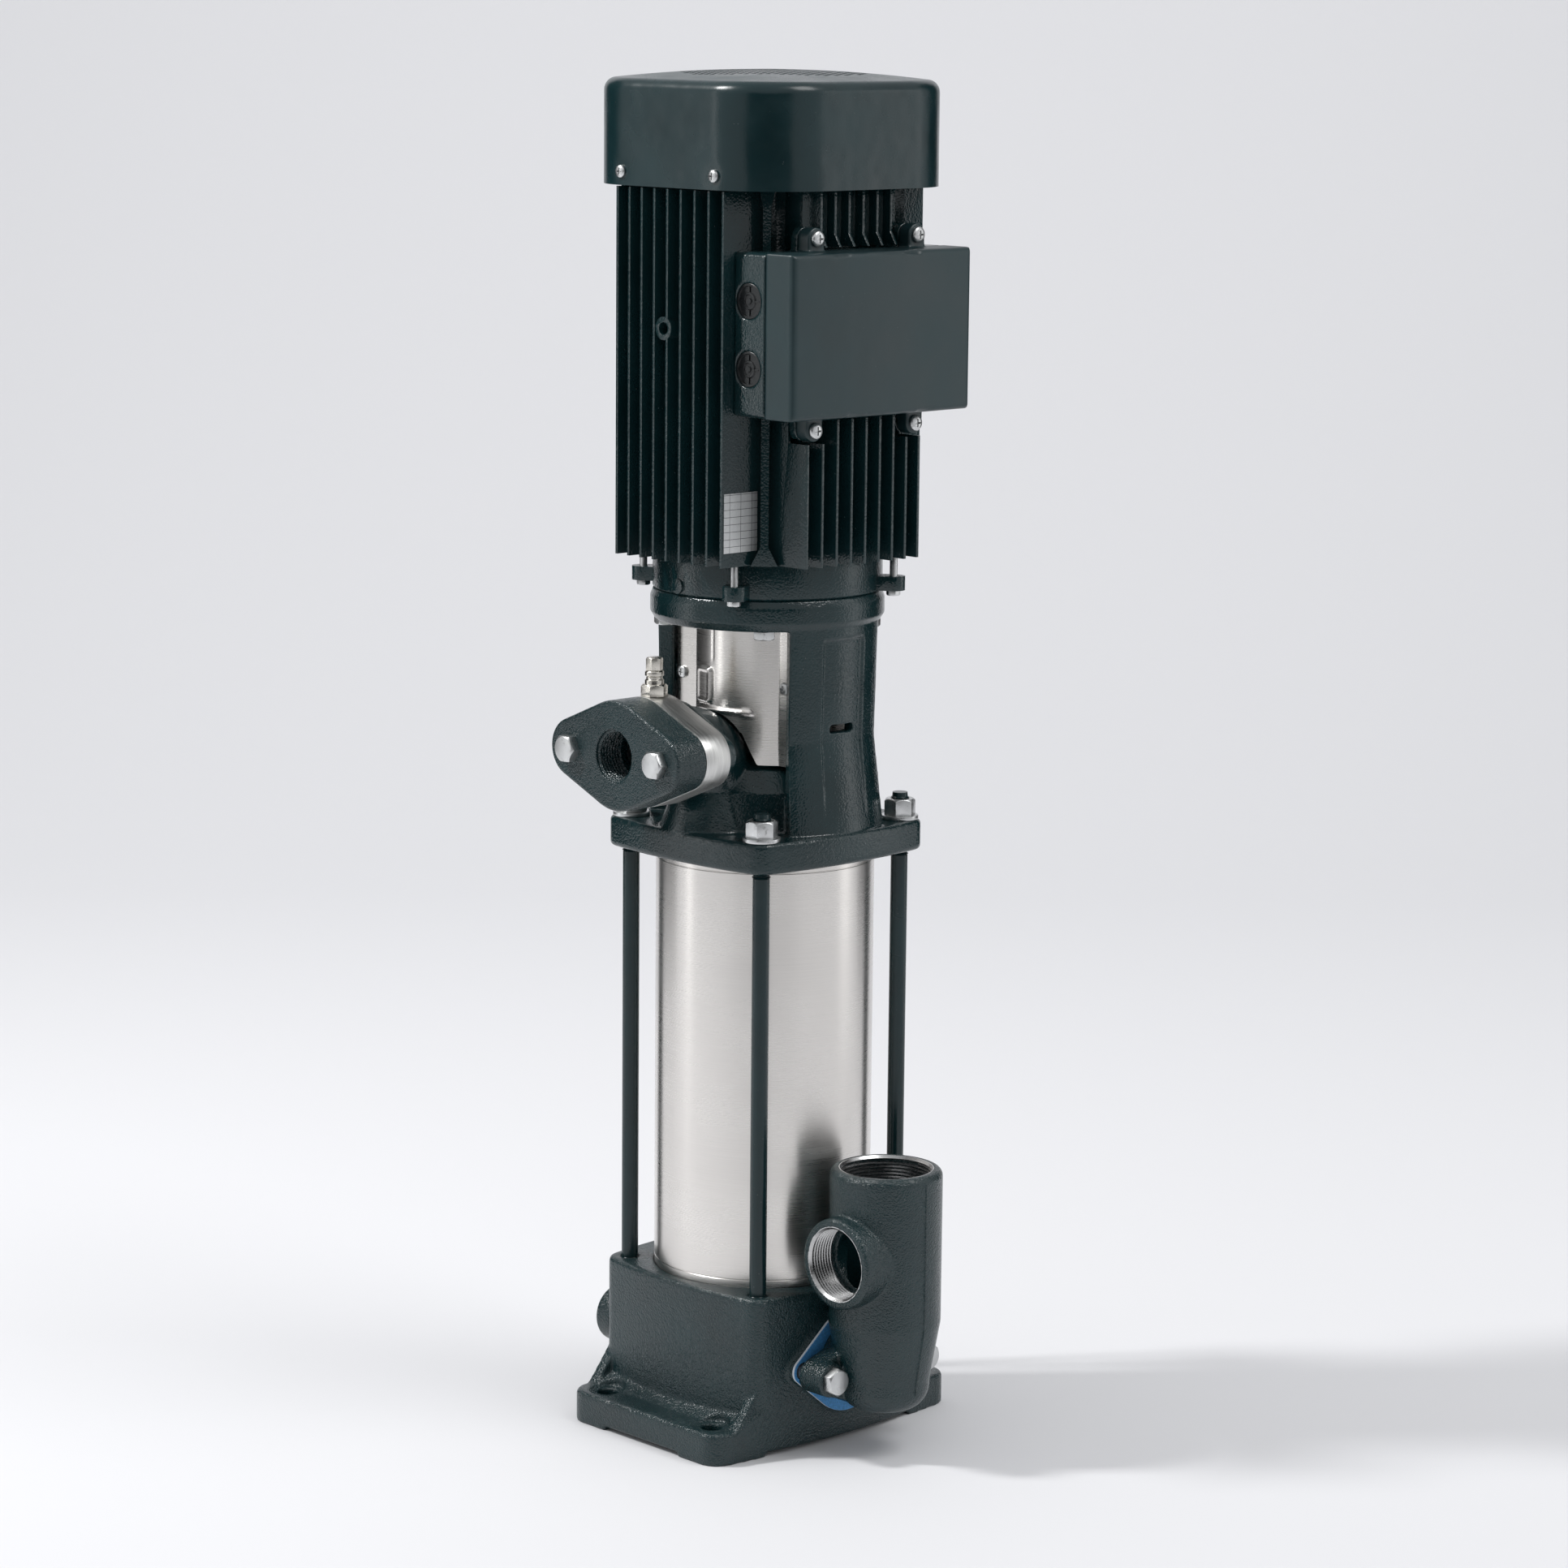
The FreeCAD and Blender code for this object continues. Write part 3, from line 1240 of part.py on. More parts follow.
def front_guard():
    """Guard sheet on the discharge side with its pressings, trimmed round the discharge neck."""
    sheet = joined([guard_sheet()] + guard_pressings())
    sheet = sheet.cut(discharge_neck(neck_radius + guard_neck_gap, neck_face_y))
    corner_x = neck_radius + guard_neck_gap
    return sheet.cut(block((-guard_end_x, vent_flange_face_y, guard_bottom_z),
                           (corner_x, 0, discharge_z + dome_wall)))


def back_guard():
    """Guard sheet over the rear window."""
    sheet = guard_sheet()
    sheet.rotate(Vector(0, 0, 0), up, 180)
    return sheet


def guard_screws():
    """Pan-head screws that hold both guards on the lugs."""
    screws = []
    screw_x = guard_end_x - guard_screw_inset
    for side_y in (1, -1):
        face = -side_y * (guard_end_y - guard_thickness)
        for side_x in (1, -1):
            screws.append(pan_head_screw(guard_screw_radius, guard_screw_head, guard_screw_length,
                                         (side_x * screw_x, face, guard_screw_z), (0, side_y, 0)))
    return screws


def motor_flange_bolts():
    """Bolts from below the motor ring into the motor's flange."""
    bolt = hex_bolt(motor_bolt_radius, motor_bolt_flats, motor_bolt_head,
                    motor_ring_height + motor_bolt_engagement,
                    (motor_bolt_circle_radius, 0, motor_ring_bottom_z), (0, 0, -1))
    return around(bolt, 4, 45)


def drive_end_shield():
    """Motor flange with spigot, bearing housing and four tie bolt lugs."""
    flange_bottom = motor_ring_top_z
    spigot = motor_spigot_radius - 0.1
    bearing_seat = bearing_outer_radius + 0.02
    bearing_wall_radius = bearing_outer_radius + bearing_housing_wall
    disc = turned([(motor_shaft_radius + 1, flange_bottom - motor_spigot_height),
                   (spigot, flange_bottom - motor_spigot_height), (spigot, flange_bottom),
                   (shield_radius - 1.5, flange_bottom), (shield_radius, flange_bottom + 1.5),
                   (shield_radius, housing_bottom_z), (housing_bore_radius - 4, housing_bottom_z),
                   (housing_bore_radius - 4, drive_bearing_z + 6),
                   (bearing_wall_radius, drive_bearing_z + 6),
                   (bearing_wall_radius, drive_bearing_z + bearing_width),
                   (bearing_seat, drive_bearing_z + bearing_width), (bearing_seat, drive_bearing_z),
                   (motor_shaft_radius + 1, drive_bearing_z)])
    lug = joined([cylinder(tie_lug_radius, tie_lug_top_z - tie_lug_bottom_z,
                           (tie_radius, 0, tie_lug_bottom_z)),
                  block((shield_radius - 6, -tie_lug_radius, tie_lug_bottom_z),
                        (tie_radius, tie_lug_radius, tie_lug_top_z))])
    boss = cylinder(drain_boss_radius, shield_radius + drain_boss_proud - housing_bore_radius,
                    (housing_bore_radius, 0, motor_ring_top_z + drain_boss_rise), (1, 0, 0))
    boss.rotate(Vector(0, 0, 0), up, drain_boss_angle)
    shield = joined([disc, boss] + around(lug, 4, tie_angle))
    tie_hole = cylinder(tie_bolt_radius + slip_clearance, tie_lug_height,
                        (tie_radius, 0, tie_lug_bottom_z))
    for tool in around(tie_hole, 4, tie_angle):
        shield = shield.cut(tool)
    tapped = cylinder(motor_bolt_radius, motor_bolt_engagement + 2,
                      (motor_bolt_circle_radius, 0, flange_bottom - 1))
    for tool in around(tapped, 4, 45):
        shield = shield.cut(tool)
    return shield


def tie_bolts():
    """Screws from the flange lugs up into the motor housing."""
    shank = housing_bottom_z + tie_boss_height - 1 - tie_lug_bottom_z
    bolt = hex_bolt(tie_bolt_radius, 8.0, 3.5, shank,
                    (tie_radius, 0, tie_lug_bottom_z), (0, 0, -1))
    return around(bolt, 4, tie_angle)


def fin_tip(offset):
    """Reach of a fin from the axis, slightly crowned over the face."""
    return fin_reach - fin_crown * (offset / fin_edge) ** 2


def face_fins(bottom, top):
    """Fins of one side, reaching towards -Y."""
    fins = []
    for index in range(fin_count):
        x = (index - (fin_count - 1) / 2) * fin_pitch
        root = -math.sqrt(housing_core_radius ** 2 - x ** 2) + 2
        fins.append(block((x - fin_thickness / 2, -fin_tip(x), bottom), (x + fin_thickness / 2, root, top)))
    return fins


def corner_rib():
    """Slim diagonal rib with a spread foot and head, reaching towards +X before it is turned."""
    half = corner_rib_width / 2
    foot = corner_rib_foot_width / 2
    head = corner_rib_head_width / 2
    foot_top_z = housing_bottom_z + corner_rib_foot_height
    head_bottom = fin_top_z - corner_rib_head_height
    outline = [(-foot, housing_bottom_z), (-half, foot_top_z), (-half, head_bottom),
               (-head, fin_top_z), (head, fin_top_z), (half, head_bottom),
               (half, foot_top_z), (foot, housing_bottom_z)]
    root = housing_core_radius - 3
    points = [Vector(root, y, z) for y, z in outline]
    face = Part.Face(Part.makePolygon(points + [points[0]]))
    return face.extrude(Vector(corner_rib_reach - root, 0, 0))


def box_bracket():
    """Ribbed plate between the terminal box and the fan cover."""
    low = box_top_z + 2
    foot_x = housing_core_radius + bracket_rib_reach
    tip_x = foot_x - 5
    solids = [block((housing_core_radius - 13, -bracket_half_width, low),
                    (bracket_face_x, bracket_half_width, fin_top_z))]
    for index in range(bracket_rib_count):
        y = (index - (bracket_rib_count - 1) / 2) * fin_pitch
        rib = Part.makePolygon([Vector(x, y - fin_thickness / 2, z) for x, z in (
            (bracket_face_x - 1, low), (foot_x, low), (tip_x, low + 8), (tip_x, fin_top_z),
            (bracket_face_x - 1, fin_top_z), (bracket_face_x - 1, low))])
        solids.append(Part.Face(rib).extrude(Vector(0, fin_thickness, 0)))
    return solids


def motor_housing():
    """Finned motor housing with corner ribs, lifting boss and terminal box bracket."""
    core = cylinder(housing_core_radius, housing_top_z - housing_bottom_z, (0, 0, housing_bottom_z))
    solids = [core] + around(corner_rib(), 4, 45) + box_bracket()
    for angle in (0, 180, 270):
        for fin in face_fins(housing_bottom_z, fin_top_z):
            fin.rotate(Vector(0, 0, 0), up, angle)
            solids.append(fin)
    for fin in face_fins(housing_bottom_z, box_bottom_z - 2):
        fin.rotate(Vector(0, 0, 0), up, 90)
        solids.append(fin)
    boss_length = fin_reach - housing_bore_radius
    solids.append(cylinder(eye_boss_radius, boss_length, (eye_boss_x, -housing_bore_radius, eye_boss_z),
                           (0, -1, 0)))
    tie_boss = cylinder(tie_lug_radius - 2, tie_boss_height, (tie_radius, 0, housing_bottom_z))
    solids.extend(around(tie_boss, 4, tie_angle))
    housing = joined(solids)
    height = housing_top_z - housing_bottom_z
    housing = housing.cut(cylinder(housing_bore_radius, height, (0, 0, housing_bottom_z)))
    tie_hole = cylinder(tie_bolt_radius, tie_boss_height + 1, (tie_radius, 0, housing_bottom_z - 1))
    for tool in around(tie_hole, 4, tie_angle):
        housing = housing.cut(tool)
    half = lid_ear_radius + ear_clearance
    back_x = box_joint_x - base_ear_depth - ear_clearance
    low_z = box_bottom_z - lid_screw_standoff - half
    for y in (lid_screw_y, -lid_screw_y):
        housing = housing.cut(block((back_x, y - half, low_z), (2 * fin_reach, y + half, box_bottom_z)))
    return housing.cut(cylinder(eye_thread_radius, eye_thread_length,
                                (eye_boss_x, -fin_reach, eye_boss_z), (0, 1, 0)))


def stator_core():
    """Laminated stator pressed in the housing."""
    return tube(housing_bore_radius - 0.02, rotor_radius + air_gap, stator_bottom_z, stator_top_z)


def stator_windings():
    """Coil ends above and below the stator."""
    return [tube(winding_outer_radius, winding_inner_radius, stator_bottom_z - winding_height,
                 stator_bottom_z),
            tube(winding_outer_radius, winding_inner_radius, stator_top_z,
                 stator_top_z + winding_height)]


def ball_bearing(bottom):
    """Inner and outer rings and the ball row of one bearing, as separate solids."""
    top = bottom + bearing_width
    inner = tube(motor_shaft_radius + bearing_ring_wall, motor_shaft_radius, bottom, top)
    outer = tube(bearing_outer_radius, bearing_outer_radius - bearing_ring_wall, bottom, top)
    return inner, outer


def motor_bearings():
    """Inner rings turn with the shaft; outer rings sit in the shields."""
    drive_inner, drive_outer = ball_bearing(drive_bearing_z)
    fan_inner, fan_outer = ball_bearing(fan_bearing_z)
    return {"bearing_inner_rings": [drive_inner, fan_inner],
            "bearing_outer_rings": [drive_outer, fan_outer]}


def rear_end_shield():
    """Upper motor shield with bearing housing and the lugs that carry the fan cover."""
    bottom = housing_top_z
    top = bottom + rear_shield_thickness
    seat = bearing_outer_radius + 0.02
    wall_radius = bearing_outer_radius + bearing_housing_wall
    spigot_z = bottom - rear_shield_spigot
    disc = turned([(seat, fan_bearing_z), (wall_radius, fan_bearing_z),
                   (wall_radius, spigot_z), (housing_bore_radius - 0.1, spigot_z),
                   (housing_bore_radius - 0.1, bottom), (housing_core_radius, bottom),
                   (housing_core_radius, top), (motor_shaft_radius + 1, top),
                   (motor_shaft_radius + 1, fan_bearing_z + bearing_width),
                   (seat, fan_bearing_z + bearing_width)])
    reach = cover_half_side - cover_wall - 0.1
    corner_radius = cover_corner_radius - cover_wall - 0.1
    inside = extruded(rounded_outline(reach, reach, corner_radius, bottom), (0, 0, cover_arm_height))
    half = cover_arm_width / 2
    arms = []
    for side in (1, -1):
        x = side * cover_screw_offset
        arm = block((x - half, -reach, bottom), (x + half, -cover_arm_root, bottom + cover_arm_height))
        hole = cylinder(cover_screw_radius, 12, (x, -reach, cover_screw_z), (0, 1, 0))
        arms.append(arm.common(inside).cut(hole))
    lugs = []
    for arm in arms:
        lugs.extend(around(arm, 4))
    return joined([disc] + lugs)


def motor_shaft():
    """Motor shaft from the coupling to the fan."""
    bottom = shaft_meeting_z + shaft_end_gap / 2
    return cylinder(motor_shaft_radius - 0.02, shaft_top_z - bottom, (0, 0, bottom))


def rotor_core():
    """Cage rotor on the motor shaft."""
    return tube(rotor_radius, motor_shaft_radius, stator_bottom_z, stator_top_z)


def fan():
    """Radial cooling fan: hub, disc and straight blades."""
    disc = turned([(motor_shaft_radius, fan_disc_z), (fan_radius, fan_disc_z),
                   (fan_radius, fan_disc_z + fan_disc_thickness),
                   (fan_hub_radius, fan_disc_z + fan_disc_thickness),
                   (fan_hub_radius, fan_disc_z + fan_blade_height),
                   (motor_shaft_radius, fan_disc_z + fan_blade_height)])
    blade = block((fan_hub_radius - 1, -fan_blade_thickness / 2, fan_disc_z),
                  (fan_radius, fan_blade_thickness / 2, fan_disc_z + fan_blade_height))
    return joined([disc] + around(blade, fan_blade_count))


def cover_crown():
    """Shallow domed crown of the fan cover with a flat middle for the grille."""
    rim = cover_half_side - cover_edge_radius
    top = cover_shoulder_z + cover_dome_height
    run = rim - grille_radius
    arc_radius = (run ** 2 + cover_dome_height ** 2) / (2 * cover_dome_height)
    half_run = run / 2
    mid = Vector(grille_radius + half_run, 0, top - arc_radius + math.sqrt(arc_radius ** 2 - half_run ** 2))
    corners = [Vector(grille_radius, 0, top), Vector(0, 0, top), Vector(0, 0, cover_shoulder_z - 0.5),
               Vector(rim, 0, cover_shoulder_z - 0.5), Vector(rim, 0, cover_shoulder_z)]
    edges = [Part.makeLine(a, b) for a, b in zip(corners, corners[1:])]
    edges.append(Part.Arc(corners[-1], mid, corners[0]).toShape())
    return Part.Face(Part.Wire(edges)).revolve(Vector(0, 0, 0), up, 360)


def fan_cover():
    """Pressed square cover with round corners, domed crown and a ring grille."""
    height = cover_shoulder_z - cover_bottom_z
    side = cover_half_side
    shell = extruded(rounded_outline(side, side, cover_corner_radius, cover_bottom_z), (0, 0, height))
    shell = shell.makeFillet(cover_edge_radius, edges_at(shell, cover_shoulder_z))
    wall = cover_wall
    inner_side = side - wall
    cavity = extruded(rounded_outline(inner_side, inner_side, cover_corner_radius - wall,
                                      cover_bottom_z), (0, 0, height - wall))
    cavity = cavity.makeFillet(cover_edge_radius - wall, edges_at(cavity, cover_shoulder_z - wall))
    cover = joined([shell, cover_crown()]).cut(cavity)
    cover = cover.cut(cylinder(grille_radius + 4, cover_dome_height, (0, 0, cover_shoulder_z - wall)))
    for index in range(4):
        for offset in (cover_screw_offset, -cover_screw_offset):
            hole = cylinder(cover_screw_radius + slip_clearance, 10,
                            (offset, -side - 1, cover_screw_z), (0, 1, 0))
            hole.rotate(Vector(0, 0, 0), up, 90 * index)
            cover = cover.cut(hole)
    return cover.cut(grille_slots())


def grille_slots():
    """Ring slots of the air inlet, each split by four bridges."""
    low = cover_shoulder_z - 2 * cover_wall
    slots = []
    for index in range(grille_ring_count):
        inner = grille_first_radius + index * grille_ring_pitch
        slots.append(tube(inner + grille_slot_width, inner, low, cover_shoulder_z + 10))
    cutter = Part.makeCompound(slots)
    for angle in (45, 135):
        bridge = block((-cover_half_side, -grille_bridge_width / 2, low),
                       (cover_half_side, grille_bridge_width / 2, low + cover_height))
        bridge.rotate(Vector(0, 0, 0), up, angle)
        cutter = cutter.cut(bridge)
    return cutter


def cover_screws():
    """Pan-head screws that hold the fan cover on the rear shield."""
    screws = []
    for offset in (cover_screw_offset, -cover_screw_offset):
        screw = pan_head_screw(cover_screw_radius, 2.6, 8.0,
                               (offset, -cover_half_side, cover_screw_z), (0, -1, 0))
        screws.extend(around(screw, 4))
    return screws


def saddle(offset, pad_x=0.0):
    """The motor's round body and corner ribs at an offset, over the height of the terminal box."""
    radius = housing_core_radius + offset
    half = corner_rib_width / 2 + offset
    rib = block((housing_bore_radius / 2, -half, box_bottom_z),
                (corner_rib_reach + offset, half, box_top_z))
    solids = [cylinder(radius, box_height, (0, 0, box_bottom_z))] + around(rib, 4, 45)
    if pad_x:
        half = terminal_block_half_width + 1
        solids.append(block((box_back_x, -half, box_bottom_z), (pad_x, half, box_top_z)))
    return joined(solids)


def terminal_box():
    """Box base that saddles the motor's round body and corner ribs, with two entries each side."""
    outer = block((box_back_x, -box_half_width, box_bottom_z), (box_joint_x, box_half_width, box_top_z))
    edges = [edge for edge in outer.Edges if abs(edge.BoundBox.YLength) < 1e-6
             and abs(edge.BoundBox.ZLength) < 1e-6]
    outer = outer.makeFillet(box_edge_rounding, edges)
    inside = block((box_back_x + box_wall, -box_half_width + box_wall, box_bottom_z + box_wall),
                   (box_joint_x, box_half_width - box_wall, box_top_z - box_wall))
    base = outer.cut(inside.cut(saddle(box_floor_wall, terminal_pad_x))).cut(saddle(0.1))
    for side in (1, -1):
        for z in (box_middle_z - entry_half_spacing, box_middle_z + entry_half_spacing):
            base = base.cut(cylinder(entry_radius, entry_depth,
                                     (entry_x, side * box_half_width, z), (0, -side, 0)))
    ears = []
    for side_y in (1, -1):
        for z in (box_top_z + lid_screw_standoff, box_bottom_z - lid_screw_standoff):
            ears.append(lid_ear(side_y * lid_screw_y, z, box_joint_x - base_ear_depth, box_joint_x))
    base = joined([base] + ears)
    for side_y in (1, -1):
        for z in (box_top_z + lid_screw_standoff, box_bottom_z - lid_screw_standoff):
            base = base.cut(cylinder(lid_screw_radius, 20, (box_joint_x, side_y * lid_screw_y, z),
                                     (-1, 0, 0)))
    return base


def lid_ear(y, z, low_x, high_x):
    """Round screw ear beside the box edge."""
    length = high_x - low_x
    ear = cylinder(lid_ear_radius, length, (low_x, y, z), (1, 0, 0))
    inward = box_top_z - 2 if z > box_top_z else box_bottom_z + 2
    low_z, high_z = sorted((z, inward))
    return joined([ear, block((low_x, y - lid_ear_radius, low_z), (high_x, y + lid_ear_radius, high_z))])


def terminal_box_lid():
    """Hollow lid with a slightly crowned face and four screw ears."""
    outer = block((box_joint_x, -box_half_width, box_bottom_z), (box_lid_x, box_half_width, box_top_z))
    radius = ((box_half_width ** 2 + lid_crown ** 2) / (2 * lid_crown))
    face = cylinder(radius, box_top_z - box_bottom_z,
                    (box_lid_x + lid_crown - radius, 0, box_bottom_z))
    slab = block((box_joint_x, -box_half_width, box_bottom_z),
                 (box_lid_x + lid_crown, box_half_width, box_top_z))
    outer = slab.common(face)
    front = [edge for edge in outer.Edges if edge.BoundBox.XMin > box_joint_x + 1]
    outer = outer.makeFillet(box_edge_rounding - 0.5, front)
    inner = block((box_joint_x, -box_half_width + lid_wall, box_bottom_z + lid_wall),
                  (box_lid_x - lid_wall, box_half_width - lid_wall, box_top_z - lid_wall))
    ears = []
    places = []
    for side_y in (1, -1):
        for z in (box_top_z + lid_screw_standoff, box_bottom_z - lid_screw_standoff):
            ears.append(lid_ear(side_y * lid_screw_y, z, box_joint_x, box_joint_x + lid_ear_depth))
            places.append((side_y * lid_screw_y, z))
    lid = joined([outer.cut(inner)] + ears)
    for y, z in places:
        lid = lid.cut(cylinder(lid_screw_radius + slip_clearance, 20, (box_joint_x, y, z), (1, 0, 0)))
    return lid.cut(inner)


def lid_screws():
    """Pan-head screws that hold the lid."""
    screws = []
    for side_y in (1, -1):
        for z in (box_top_z + lid_screw_standoff, box_bottom_z - lid_screw_standoff):
            screws.append(pan_head_screw(lid_screw_radius, 3.0, lid_ear_depth + base_ear_depth,
                                         (box_joint_x + lid_ear_depth, side_y * lid_screw_y, z), (1, 0, 0)))
    return screws


def entry_plugs():
    """Blanking plugs in the cable entries."""
    plugs = []
    for side in (1, -1):
        floor_y = side * (box_half_width - entry_depth)
        for z in (box_middle_z - entry_half_spacing, box_middle_z + entry_half_spacing):
            disc = cylinder(entry_radius - 0.1, entry_plug_thickness, (entry_x, floor_y, z), (0, side, 0))
            knob = cylinder(entry_radius * 0.35, 2.2, (entry_x, floor_y, z), (0, side, 0))
            plugs.append(joined([disc, knob]))
    return plugs


def terminal_block():
    """Terminal board with six studs, on the pad of the box floor."""
    low_z = box_middle_z - terminal_block_height / 2
    front_x = terminal_pad_x + terminal_block_depth
    solids = [block((terminal_pad_x, -terminal_block_half_width, low_z),
                    (front_x, terminal_block_half_width, low_z + terminal_block_height))]
    for row in (-1, 1):
        for column in (-1, 0, 1):
            start = (front_x - 1, column * terminal_stud_pitch,
                     box_middle_z + row * terminal_stud_half_row)
            solids.append(cylinder(terminal_stud_radius, terminal_stud_length, start, (1, 0, 0)))
    return joined(solids)


def nameplate():
    """Blank rating plate on the flank of the last fin beside the front corner."""
    flank_x = fin_edge + fin_thickness / 2
    outer_y = -fin_tip(fin_edge) + 1.5
    return block((flank_x, outer_y, nameplate_bottom_z),
                 (flank_x + nameplate_thickness, outer_y + nameplate_width,
                  nameplate_bottom_z + nameplate_height))


def build():
    """Every node's solids by node name."""
    nodes = {
        "base_casting": base_casting(),
        "suction_elbow": suction_elbow(),
        "elbow_bolts": elbow_bolts(),
        "blind_flange": blind_flange(),
        "blind_flange_bolts": blind_bolts(),
        "outer_sleeve": outer_sleeve(),
        "sleeve_seals": sleeve_seals(),
        "stay_bolts": stay_bolts(),
        "stay_washers": stay_washers(),
        "stay_nuts": stay_nuts(),
        "head_stool": head_stool(),
        "vent_flange": vent_flange(),
        "counter_flange": counter_flange(),
        "counter_flange_bolts": counter_flange_bolts(),
        "vent_body": vent_body(),
        "vent_cap": vent_cap(),
        "vent_needle": vent_needle(),
        "inlet_guide": inlet_guide(),
        "lower_bearing": lower_bearing(),
        "stage_chambers": stage_chambers(),
        "stack_clamp_ring": stack_clamp_ring(),
        "impellers": impellers(),
        "pump_shaft": pump_shaft(),
        "shaft_pin": shaft_pin(),
        "coupling_half_front": coupling_half(-1),
        "coupling_half_back": coupling_half(1),
        "coupling_screws": coupling_screws(),
        "coupling_guard_front": front_guard(),
        "coupling_guard_back": back_guard(),
        "guard_screws": guard_screws(),
        "motor_flange_bolts": motor_flange_bolts(),
        "drive_end_shield": drive_end_shield(),
        "tie_bolts": tie_bolts(),
        "motor_housing": motor_housing(),
        "stator_core": stator_core(),
        "stator_windings": stator_windings(),
        "rear_end_shield": rear_end_shield(),
        "motor_shaft": motor_shaft(),
        "rotor_core": rotor_core(),
        "cooling_fan": fan(),
        "fan_cover": fan_cover(),
        "cover_screws": cover_screws(),
        "terminal_box": terminal_box(),
        "terminal_box_lid": terminal_box_lid(),
        "lid_screws": lid_screws(),
        "entry_plugs": entry_plugs(),
        "terminal_block": terminal_block(),
        "nameplate": nameplate(),
    }
    nodes.update(port_gaskets())
    nodes.update(seal_parts())
    nodes.update(motor_bearings())
    return nodes


def main():
    """Write one STEP file for each node."""
    os.makedirs("parts", exist_ok=True)
    for name, shape in build().items():
        if isinstance(shape, list):
            shape = Part.makeCompound(shape)
        shape.exportStep(os.path.join("parts", name + ".step"))


main()
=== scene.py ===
import json
import logging
import math
from dataclasses import dataclass
from enum import Enum
from typing import Any, Iterable, Optional, Sequence, Union

import bmesh
import bpy
from mathutils import Matrix, Vector


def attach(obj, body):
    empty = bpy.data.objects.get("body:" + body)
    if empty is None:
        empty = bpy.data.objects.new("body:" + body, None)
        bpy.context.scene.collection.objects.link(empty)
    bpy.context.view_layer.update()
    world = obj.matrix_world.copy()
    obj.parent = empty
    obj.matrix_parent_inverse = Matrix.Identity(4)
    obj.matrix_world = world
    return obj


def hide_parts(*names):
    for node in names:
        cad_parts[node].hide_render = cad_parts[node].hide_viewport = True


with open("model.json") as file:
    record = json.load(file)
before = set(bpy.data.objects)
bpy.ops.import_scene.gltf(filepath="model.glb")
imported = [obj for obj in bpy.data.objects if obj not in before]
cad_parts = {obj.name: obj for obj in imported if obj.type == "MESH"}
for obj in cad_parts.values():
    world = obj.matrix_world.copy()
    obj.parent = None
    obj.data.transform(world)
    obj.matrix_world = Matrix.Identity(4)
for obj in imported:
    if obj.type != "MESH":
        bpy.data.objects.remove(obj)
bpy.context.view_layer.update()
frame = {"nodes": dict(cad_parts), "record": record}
log = logging.getLogger("pump")

MM = 0.001
Pair = tuple[float, float]
Point = tuple[float, float, float]
Colour = tuple[float, float, float]
Socket = bpy.types.NodeSocket
Source = Union[Socket, float, Colour]


class Slot(Enum):
    """Material slots of the record that pieces take their finish from."""

    TEXTURED = "textured_casting"
    GLOSS = "gloss_casting"
    SHEET = "gloss_sheet"
    LID = "satin_lid"
    STAY = "painted_stay"
    GASKET = "gasket_sheet"
    SEAL_RUBBER = "seal_rubber"
    ZINC = "zinc_fastener"
    STAINLESS = "stainless_sheet"
    BARE = "bare_flange"
    NICKEL = "nickel_brass"
    CERAMIC = "seal_ceramic"
    COUPLING = "coupling_iron"
    SHAFT = "shaft_steel"
    LAMINATION = "lamination_steel"
    COPPER = "winding_copper"
    PLASTIC = "fan_plastic"
    PLATE = "blank_plate"


# Shader graphs


